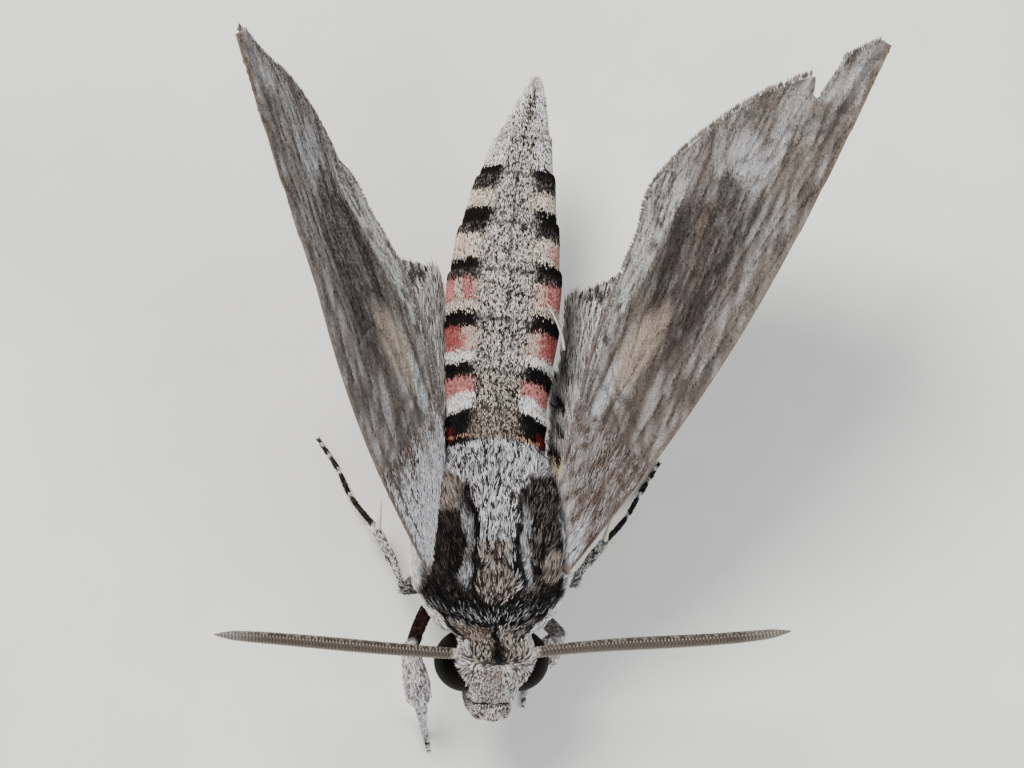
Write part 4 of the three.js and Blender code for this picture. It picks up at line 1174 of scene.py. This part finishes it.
# Soft marks of the fore wing: [along, across], [half length, half width], turn in degrees, colour, strength.
FORE_MARKS = [
    [[23.5, 5.0], [9.4, 5.0], 14, srgb(66, 56, 51), 0.95],
    [[32.4, 6.2], [3.2, 1.9], 75, srgb(190, 190, 192), 0.8],
    [[35.6, 4.4], [4.6, 1.3], 12, srgb(184, 184, 184), 0.8],
    [[31.5, 9.6], [2.6, 0.8], 48, srgb(176, 176, 176), 0.6],
    [[29.5, 8.0], [1.9, 0.55], 20, WING_SILVER, 0.5],
    [[42.4, 0.8], [2.6, 1.0], 5, WING_SILVER, 0.8],
    [[16.2, 5.6], [5.0, 2.0], -6, srgb(180, 166, 150), 0.8],
    [[11.6, 6.2], [3.8, 1.0], 14, srgb(204, 206, 210), 0.9],
    [[5.5, 4.2], [5.6, 1.7], 32, srgb(210, 211, 214), 0.95],
    [[40.6, 2.6], [1.8, 1.1], 0, srgb(190, 189, 188), 0.7],
    [[7.5, -0.7], [5.5, 0.9], -4, srgb(92, 84, 78), 0.6],
    [[10.4, 2.4], [5.0, 1.8], 6, srgb(92, 82, 76), 0.75],
    [[23.2, 7.9], [5.6, 1.1], 25, WING_DARK, 0.95],
    [[26.8, 6.9], [2.6, 0.4], 24, WING_BROWN, 0.7],
    [[27.8, 2.6], [3.4, 1.0], 4, BLACK, 0.7],
    [[22.4, 2.8], [5.0, 1.1], 0, WING_DARK, 0.95],
    [[35, 8.8], [1.4, 0.5], 100, WING_DARK, 0.6],
    [[9.5, 7.6], [2.6, 1.6], 30, WING_DARK, 0.4],
    [[41, 0.35], [4.2, 0.22], -4, BLACK, 0.75],
    [[34, 0.4], [3.4, 0.6], 0, srgb(112, 102, 82), 0.6],
]
ZIGZAG_PITCH = 2.2  # across the veins, in the fringe too
WING_CHART = (0.94, 0.44)  # width and height
WING_CHART_BOTTOMS = (0.52, MARGIN)  # of the lower face and the upper one
WING_CHART_ACROSS = (-3, 17)  # the distances across a wing that the charts take in

forewing_trail = profile(FOREWING_TRAIL)
hindwing_lead = profile(HINDWING_LEAD)
hindwing_trail = profile(HINDWING_TRAIL)


def forewing_lead(along):
    return -COSTA_BULGE * np.sin(np.pi * along / FOREWING_LENGTH)


def turned(vector, axis, angle):
    """The vector turned about a unit axis by each angle."""
    cosine, sine = np.cos(angle)[..., None], np.sin(angle)[..., None]
    return vector * cosine + np.cross(axis, vector) * sine + axis * (axis @ vector) * (1 - cosine)


def wing_place(side_name, u, v, height):
    """A place on a wing, from along, across and height over its plane, in space."""
    hand = SIDES[side_name]
    sweep, lift, pitch, twist = np.radians(WING_ANGLES[side_name])
    rearward = np.array([0, math.cos(pitch), math.sin(pitch)])
    sideways = np.array([hand * math.cos(lift), 0, math.sin(lift)])
    sideways = unit(sideways - rearward * sideways.dot(rearward))
    along = rearward * math.cos(sweep) + sideways * math.sin(sweep)
    across = rearward * math.sin(sweep) - sideways * math.cos(sweep)
    chord = turned(across, along, hand * twist * np.maximum(0, 1 - (u / TORNUS_ALONG) ** 2))
    upper = np.cross(along, chord) * hand
    return WING_HINGE * [hand, 1, 1] + along * u[..., None] + chord * v[..., None] + upper * height[..., None]


def over_plane(share, gap, drop):
    """Height of a wing's mid face at a share of the way across it and a distance from the nearest vein."""
    ridge = VEIN_HEIGHT * np.exp(-((gap / VEIN_WIDTH) ** 2)) - MEMBRANE_SINK * clamp(gap)
    return WING_CAMBER * np.sin(np.pi * share) - drop + ridge


def vein_gap(u, v, veins):
    """Distance from each place on a wing to its nearest vein."""
    place_on = np.stack([u, v], axis=-1)
    gap = np.full(u.shape, 99.0)
    for vein in veins:
        line = np.array(vein, float)
        for start, run in zip(line, np.diff(line, axis=0)):
            t = clamp(((place_on - start) @ run) / run.dot(run))
            gap = np.minimum(gap, np.linalg.norm(place_on - start - t[..., None] * run, axis=-1))
    return gap


def blot(u, v, centre, radii, turned_by):
    """1 at the middle of a soft-edged oval on the wing and 0 outside it."""
    cosine, sine = math.cos(math.radians(turned_by)), math.sin(math.radians(turned_by))
    du, dv = u - centre[0], v - centre[1]
    along, across = du * cosine + dv * sine, dv * cosine - du * sine
    return clamp(1.6 - 1.6 * ((along / radii[0]) ** 2 + (across / radii[1]) ** 2))


def zigzag(u, v, pitch):
    """-1 to 1, to and fro across the veins."""
    return np.abs(((v - 0.35 * u) / pitch) % 1 - 0.5) * 4 - 1


def forewing_colour(u, v, gap, upper):
    """The colour at each place on a fore wing's upper face, or where upper is False, on its lower one."""
    run = np.stack([(u * 0.97 + v * 0.25) * 0.7, (v * 0.97 - u * 0.25) * 3.6], axis=-1)
    streak, fine = lumps(run, 1.4, 80), lumps(run, 0.6, 81)
    colour = mixed(WING_GROUND, WING_SILVER, 0.45 * clamp((streak - 0.5) / 0.3))
    colour = laid(colour, WING_DARK, 0.6 * clamp((0.44 - streak) / 0.25))
    for centre, radii, turned_by, tint, strength in FORE_MARKS:
        share = blot(u, v, centre, radii, turned_by) * strength
        colour = laid(colour, tint, share * clamp(0.62 + 0.8 * (fine - 0.3)))
    # The rear edge is pale grey, sharply set off from the dark middle.
    shore = v - 9.7 - 0.12 * (u - 22) - 0.9 * (streak - 0.5)
    rear = clamp(shore / 0.35) * band(u, 12, 27.5, 3)
    colour = combed(colour, 0.9 * rear, fine, srgb(96, 92, 88), srgb(188, 187, 184), 0.26, 0.6)
    # Dark wavy lines, some along the outer edge and some across the base.
    from_edge = np.where(u > 24, (forewing_trail(u) - v) * 0.74, 99) + 0.32 * zigzag(u, v, ZIGZAG_PITCH)
    for distance, dark in ((1.5, 0.3), (4.6, 0.5), (5.6, 0.5), (6.6, 0.4)):
        colour = laid(colour, WING_DARK, dark * band(from_edge - distance, -0.1, 0.1, 0.16) * (v > -1.5))
    from_root = u - 0.35 * v + 0.3 * zigzag(v * 2, u, 2.4)
    for distance, dark in ((10.2, 0.5), (11.6, 0.45), (6.2, 0.4)):
        colour = laid(colour, WING_DARK, dark * band(from_root - distance, -0.12, 0.12, 0.18))
    colour = laid(colour, WING_DARK, 0.35 * band(gap, -1, 0.05, 0.08))
    colour = laid(colour, WING_BROWN, 0.7 * band(v - forewing_lead(u), -1, 0.12, 0.2))
    colour = colour * (0.8 + 0.4 * lumps(np.stack([u, v], axis=-1), 0.24, 82))[..., None]
    lower = mixed(srgb(140, 126, 116) * (0.86 + 0.28 * streak)[..., None], colour, 0.25)
    return np.where(np.asarray(upper)[..., None], colour, lower)


def hindwing_colour(u, v, gap, upper):
    """The same for a hind wing."""
    flat = np.stack([u, v], axis=-1)
    fine = lumps(np.stack([u * 0.8 + v * 0.6, (v * 0.8 - u * 0.6) * 2.5], axis=-1), 0.5, 84)
    colour = strands(fine, srgb(70, 65, 62), srgb(214, 212, 209), 0.33, 0.57)
    broken = 0.9 * clamp(lumps(flat, 0.7, 87) * 4 - 1.1)
    from_root = (u + v * 0.65) / 1.19 + 1.5 * (lumps(flat, 1.5, 85) - 0.5)
    for distance, wide in ((10.2, 0.9), (12.6, 0.8), (15.2, 0.9), (18.2, 0.8), (22.4, 1.1)):
        colour = laid(colour, DARK, broken * band(from_root - distance, -wide / 2, wide / 2, 0.5))
    colour = laid(colour, srgb(170, 158, 136), 0.5 * clamp((7.5 - u) / 2))
    colour = laid(colour, WING_DARK, 0.3 * band(gap, -1, 0.05, 0.08))
    colour = colour * (0.84 + 0.32 * lumps(flat, 0.24, 86))[..., None]
    return laid(colour, srgb(150, 136, 126), 0.6 * ~np.broadcast_to(upper, u.shape))


def wing_uv(along, v, upper):
    """Where places on a wing lie on its unwrap, from their share along it and their distance across."""
    across = (v - WING_CHART_ACROSS[0]) / (WING_CHART_ACROSS[1] - WING_CHART_ACROSS[0])
    bottom = np.where(upper, WING_CHART_BOTTOMS[1], WING_CHART_BOTTOMS[0])
    return np.stack([along * WING_CHART[0] + MARGIN, across * WING_CHART[1] + bottom], axis=-1)


# Each kind of wing: its edges, how far it hangs, its veins, its colours, and the ends of its plate.
FORE = (forewing_lead, forewing_trail, 0, FORE_VEINS, forewing_colour, (0.4, FOREWING_LENGTH - 0.1))
HIND = (hindwing_lead, hindwing_trail, HINDWING_DROP, HIND_VEINS, hindwing_colour, (1.7, 24.3))


def along_bite(u, before=0.0, after=0.0):
    """Which places along a wing lie at its torn place, widened at either end."""
    return (u > BITE_ALONG[0] - before) & (u < BITE_ALONG[1] + after)


def make_wing(name, side_name, kind, torn=False):
    """A closed thin plate with raised veins, its torn place left out."""
    lead, trail, drop, veins, paint, (first, last) = kind
    columns, rows = int((last - first) / WING_CELL), WING_ROWS
    u_line = np.linspace(first, last, columns + 1)
    share = np.linspace(0, 1, rows + 1)
    ragged = 0.16 * (lumps(np.stack([u_line, u_line * 0], axis=-1), 0.45, 90) - 0.5)
    front, rear = lead(u_line), trail(u_line) + ragged - 0.1
    u = np.broadcast_to(u_line[:, None], (columns + 1, rows + 1))
    v = front[:, None] + (rear - front)[:, None] * share[None]
    gap = vein_gap(u, v, veins)
    cells = np.ones((columns, rows), bool)
    slid = 0
    if torn:
        # The tear's inner side slants toward the wing's root.
        slant = clamp((5.6 - v) / 2) * clamp((v - 1.2) / 1.8)
        slid = 1.6 * np.exp(-(((u - BITE_ALONG[0]) / 0.8) ** 2)) * slant
        mid_u, mid_v = (u[:-1, :-1] + u[1:, 1:]) / 2, (v[:-1, :-1] + v[1:, 1:]) / 2
        inner = BITE_ACROSS + 0.3 * (lumps(np.stack([mid_u, mid_u * 0], axis=-1), 0.4, 91) - 0.5)
        cells = ~(along_bite(mid_u) & (mid_v > inner))
    to_rim = np.minimum(share, 1 - share)[None] * (rear - front)[:, None] / 0.35
    half = WING_THICKNESS / 2 * (0.35 + 0.65 * clamp(to_rim))
    middle = over_plane(share[None], gap, drop)
    faces = [wing_place(side_name, u - slid, v, height) for height in (middle + half, middle - half)]
    index = np.arange(u.size).reshape(u.shape)
    ring = [index[:-1, :-1], index[1:, :-1], index[1:, 1:], index[:-1, 1:]]
    top = np.stack(ring, axis=-1)[cells]
    bottom = (np.stack(ring[::-1], axis=-1) + u.size)[cells]
    padded = np.pad(cells, 1)
    neighbours = (padded[1:-1, :-2], padded[2:, 1:-1], padded[1:-1, 2:], padded[:-2, 1:-1])
    walls = []
    for start, end, beyond in zip(ring, ring[1:] + ring[:1], neighbours):
        edge = cells & ~beyond
        walls.append(np.stack([end[edge], start[edge], start[edge] + u.size, end[edge] + u.size], axis=-1))
    quads = np.concatenate([top, bottom] + walls)[:, :: SIDES[side_name]]
    points, colours, uv = (np.concatenate(pair).reshape(-1, pair[0].shape[-1]) for pair in (
        faces,
        [paint(u, v, gap, upper) for upper in (True, False)],
        [wing_uv((u - first) / (last - first), v, upper) for upper in (True, False)],
    ))
    plate = make_piece(name, points, quads, [], WING, colours, uv[quads].reshape(-1, 2))
    return plate


for side_name in SIDES:
    fore = make_wing(f"fore_wing_{side_name}", side_name, FORE, torn=side_name == "left")
    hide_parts(f"forewing_{side_name}")
    hind = make_wing(f"hind_wing_{side_name}", side_name, HIND)
    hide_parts(f"hindwing_{side_name}")


def wing_tufts(name, side_name, u, v, height, way, upper, length, width, lift, colour, spread=0.0, tip_highlight=1.1,
               longer=1.0):
    """Tufts rooted on a wing. way is the mean and spread of their direction along and across it, and length,
    width and lift are limits. Their brightness varies by spread; their ends are brightened by a factor as a
    painted highlight."""
    count = len(u)
    here = wing_place(side_name, u, v, height)
    du = wing_place(side_name, u + 0.01, v, height) - here
    dv = wing_place(side_name, u, v + 0.01, height) - here
    facing = np.where(np.broadcast_to(upper, count), 1, -1)[:, None]
    normals = unit(np.cross(du, dv)) * SIDES[side_name] * facing
    way_u, way_v = (np.broadcast_to(mean + rng.normal(0, sd, count) if sd else mean, count)[:, None]
                    for mean, sd in way)
    length, width, lift = (rng.uniform(*limits, count) for limits in (length, width, lift))
    if spread:
        colour = colour * rng.normal(1, spread, (count, 1))
    coat_pieces(name, "wing", roots=here, normals=normals, lie=unit(du * way_u + dv * way_v),
                length=length * longer, width=width, lift=lift, uv=wing_uv(u / FOREWING_LENGTH, v, upper),
                colour=colour, tip_colour=colour * tip_highlight)


def across_wing(kind, u, share):
    """Distance across a wing at a share of the way from its front edge to its rear one."""
    lead, trail = kind[:2]
    return lead(u) + (trail(u) - lead(u)) * share


def grow_fringe(side_name):
    """The fringe along a fore wing's outer edge, dark at each vein's end and pale between."""
    u = rng.uniform(6, FOREWING_LENGTH - 0.4, int(1500 * THINNING))
    if side_name == "left":
        u = u[~along_bite(u, 0.4, 0.1)]
    v = forewing_trail(u) - 0.2
    slope = (forewing_trail(u + 0.1) - forewing_trail(u - 0.1)) / 0.2
    dark = (zigzag(u, v, ZIGZAG_PITCH) < -0.32) & (u > 26)
    tint = WING_GROUND * np.where(dark, 0.62, 1.2)[:, None] * rng.normal(1, 0.12, (len(u), 1))
    wing_tufts(f"fringe_{side_name}", side_name, u, v, np.zeros(len(u)), ((0.3 - slope, 0.2), (1, 0)), True,
               (0.4, 0.75), (0.07, 0.12), (-6, 6), tint)


def grow_scales(name, side_name, kind, first, last, count):
    """Scales on both faces of a wing, from first to last along it. Some are dark."""
    lead, trail, drop, veins, paint, _ = kind
    u = rng.uniform(first, last, count * 2)
    u = u[rng.random(len(u)) * 17 < trail(u) - lead(u)][:count]
    share = 0.01 + 0.97 * rng.random(len(u))
    v = lead(u) + (trail(u) - 0.1 - lead(u)) * share
    if side_name == "left" and kind is FORE:
        whole = ~(along_bite(u, 1.8, 0.1) & (v > BITE_ACROSS - 0.2))
        u, v, share = u[whole], v[whole], share[whole]
    upper = rng.random(len(u)) < 0.7
    gap = vein_gap(u, v, veins)
    dark = rng.random(len(u)) < 0.14
    tint = paint(u, v, gap, upper) * np.clip(rng.normal(0.97, 0.17, (len(u), 1)), 0.55, 1.35)
    tint = np.where(dark[:, None], tint * 0.5, tint)
    height = over_plane(share, gap, drop) + np.where(upper, 1, -1) * WING_THICKNESS * 0.45
    way = ((1, 0.12), (0.3 + 0.5 * share, 0.15))
    wing_tufts(f"{name}_{side_name}", side_name, u, v, height, way, upper, (0.26, 0.5), (0.08, 0.13), (2, 7),
               tint, tip_highlight=1.0)


def grow_root_hair(side_name):
    """Hair over a fore wing's root, paler toward the hinge."""
    count = int(7000 * THINNING)
    u = 0.8 + 9.5 * rng.random(count) ** 1.3
    share = rng.random(count)
    v = across_wing(FORE, u, share)
    locks = lumps(np.stack([u, v * 3], axis=-1), 0.8, 92)
    tint = mixed(BROWN * 1.1, srgb(168, 163, 162), clamp(locks * 1.6 - 0.4))
    pale_end = 4.2 if side_name == "left" else 9.5
    pale = clamp((pale_end - u + 1.2 * np.sin(v * 3)) / 2.0)
    tint = laid(tint, srgb(200, 200, 203), pale * 0.8)
    upper = rng.random(count) < 0.6
    height = WING_CAMBER * np.sin(np.pi * share) + np.where(upper, 0.06, -0.06)
    wing_tufts(f"root_hair_{side_name}", side_name, u, v, height, ((1, 0), (0.25, 0.2)), upper,
               (0.7, 1.5), (0.07, 0.12), (3, 16), tint, spread=0.13, longer=1.2 - u / 16)


def grow_bridge_hair(side_name):
    """Hair that bridges the gap between a hind wing's inner edge and the abdomen."""
    count = int(2600 * THINNING)
    u = rng.uniform(1.7, 9.5, count)
    share = 1 - 0.22 * rng.random(count)
    v = across_wing(HIND, u, share) - 0.1
    grey = strands(lumps(np.stack([u, v], axis=-1), 0.5, 93), DARK * 1.3, srgb(192, 189, 184), 0.36, 0.52)
    tint = np.where((u < 5)[:, None], srgb(204, 194, 164), grey)
    height = WING_CAMBER * np.sin(np.pi * share) - HINDWING_DROP + 0.06
    wing_tufts(f"bridge_hair_{side_name}", side_name, u, v, height, ((0.5, 0.25), (1, 0)), True,
               (1.2, 2.4), (0.07, 0.11), (0, 34), tint, spread=0.14)


def grow_inner_hair(side_name):
    """Long pale hair along a hind wing's inner edge."""
    count = int(5200 * THINNING)
    u = rng.uniform(1.9, 15, count)
    share = 1 - rng.random(count) ** 2 * 0.5
    v = across_wing(HIND, u, share) - 0.1
    tint = mixed(srgb(78, 73, 69), srgb(216, 213, 208), rng.random(count))
    tint = np.where(((u < 5.5) & (rng.random(count) < 0.5))[:, None], srgb(200, 190, 160), tint)
    upper = rng.random(count) < 0.6
    height = WING_CAMBER * np.sin(np.pi * share) - HINDWING_DROP + np.where(upper, 0.06, -0.06)
    wing_tufts(f"inner_hair_{side_name}", side_name, u, v, height, ((1, 0.2), (0.75, 0.25)), upper,
               (0.9, 1.9), (0.06, 0.1), (0, 12), tint, spread=0.1)


for side_name in SIDES:
    grow_fringe(side_name)
    grow_scales("fore_scales", side_name, FORE, 1.5, 44.6, int(30000 * THINNING))
    grow_scales("hind_scales", side_name, HIND, 2.2, 24, int(12000 * THINNING))
    grow_root_hair(side_name)
    grow_bridge_hair(side_name)
    grow_inner_hair(side_name)

# ---------------------------------------------------------------- floor, lights and camera

FLOOR_REACH = 1.5  # metres

floor_mesh = bpy.data.meshes.new("floor")
floor_corners = [(x * FLOOR_REACH, y * FLOOR_REACH, 0) for x, y in ((-1, -1), (1, -1), (1, 1), (-1, 1))]
floor_mesh.from_pydata(floor_corners, [], [(0, 1, 2, 3)])
floor_material, floor_tree, floor_shader = new_material("floor", Roughness=0.8)
floor_shade = ramp_node(floor_tree, noise_node(floor_tree, 60, 3), srgb(228, 227, 223), srgb(236, 235, 231))
floor_tree.links.new(floor_shade, floor_shader.inputs["Base Color"])
floor_mesh.materials.append(floor_material)
in_scene("floor", floor_mesh)

world = bpy.data.worlds.new("studio")
world.use_nodes = True
world.node_tree.nodes["Background"].inputs["Color"].default_value = (*srgb(226, 230, 234), 1)
world.node_tree.nodes["Background"].inputs["Strength"].default_value = 0.48
bpy.context.scene.world = world


def area_light(name, position, target, size, watts, colour):
    lamp = bpy.data.lights.new(name, "AREA")
    lamp.shape = "DISK"
    lamp.size = size
    lamp.energy = watts
    lamp.color = colour
    holder = in_scene(name, lamp)
    holder.location = position
    holder.rotation_mode = "QUATERNION"
    holder.rotation_quaternion = (Vector(target) - Vector(position)).to_track_quat("-Z", "Y")


look_at = place(CAMERA_TARGET)
area_light("key", (-0.16, 0.20, 0.34), look_at, 0.16, 2.7, (1.0, 0.985, 0.96))
area_light("fill", (0.28, -0.12, 0.26), look_at, 0.3, 1.0, (0.93, 0.97, 1.0))
area_light("front", (0.0, -0.34, 0.12), look_at, 0.2, 0.7, (1, 1, 1))

toward = unit(np.array([-math.sin(CAMERA_ROLL), -math.sin(CAMERA_FRONT), 1.0]))
right = unit(np.cross([math.sin(CAMERA_TWIST), math.cos(CAMERA_TWIST), 0], toward))
axes = np.stack([right, np.cross(toward, right), toward], axis=-1)
camera_data = bpy.data.cameras.new("camera")
camera_data.sensor_width = SENSOR
camera_data.lens = SENSOR * CAMERA_DISTANCE * PIXELS_PER_MM / FRAME_WIDTH
camera_data.clip_start, camera_data.clip_end = 0.01, 10
camera = in_scene("camera", camera_data)
camera_place = place(CAMERA_TARGET + toward * CAMERA_DISTANCE)
camera.matrix_world = Matrix.Translation(camera_place) @ Matrix(axes).to_4x4()
bpy.context.scene.camera = camera
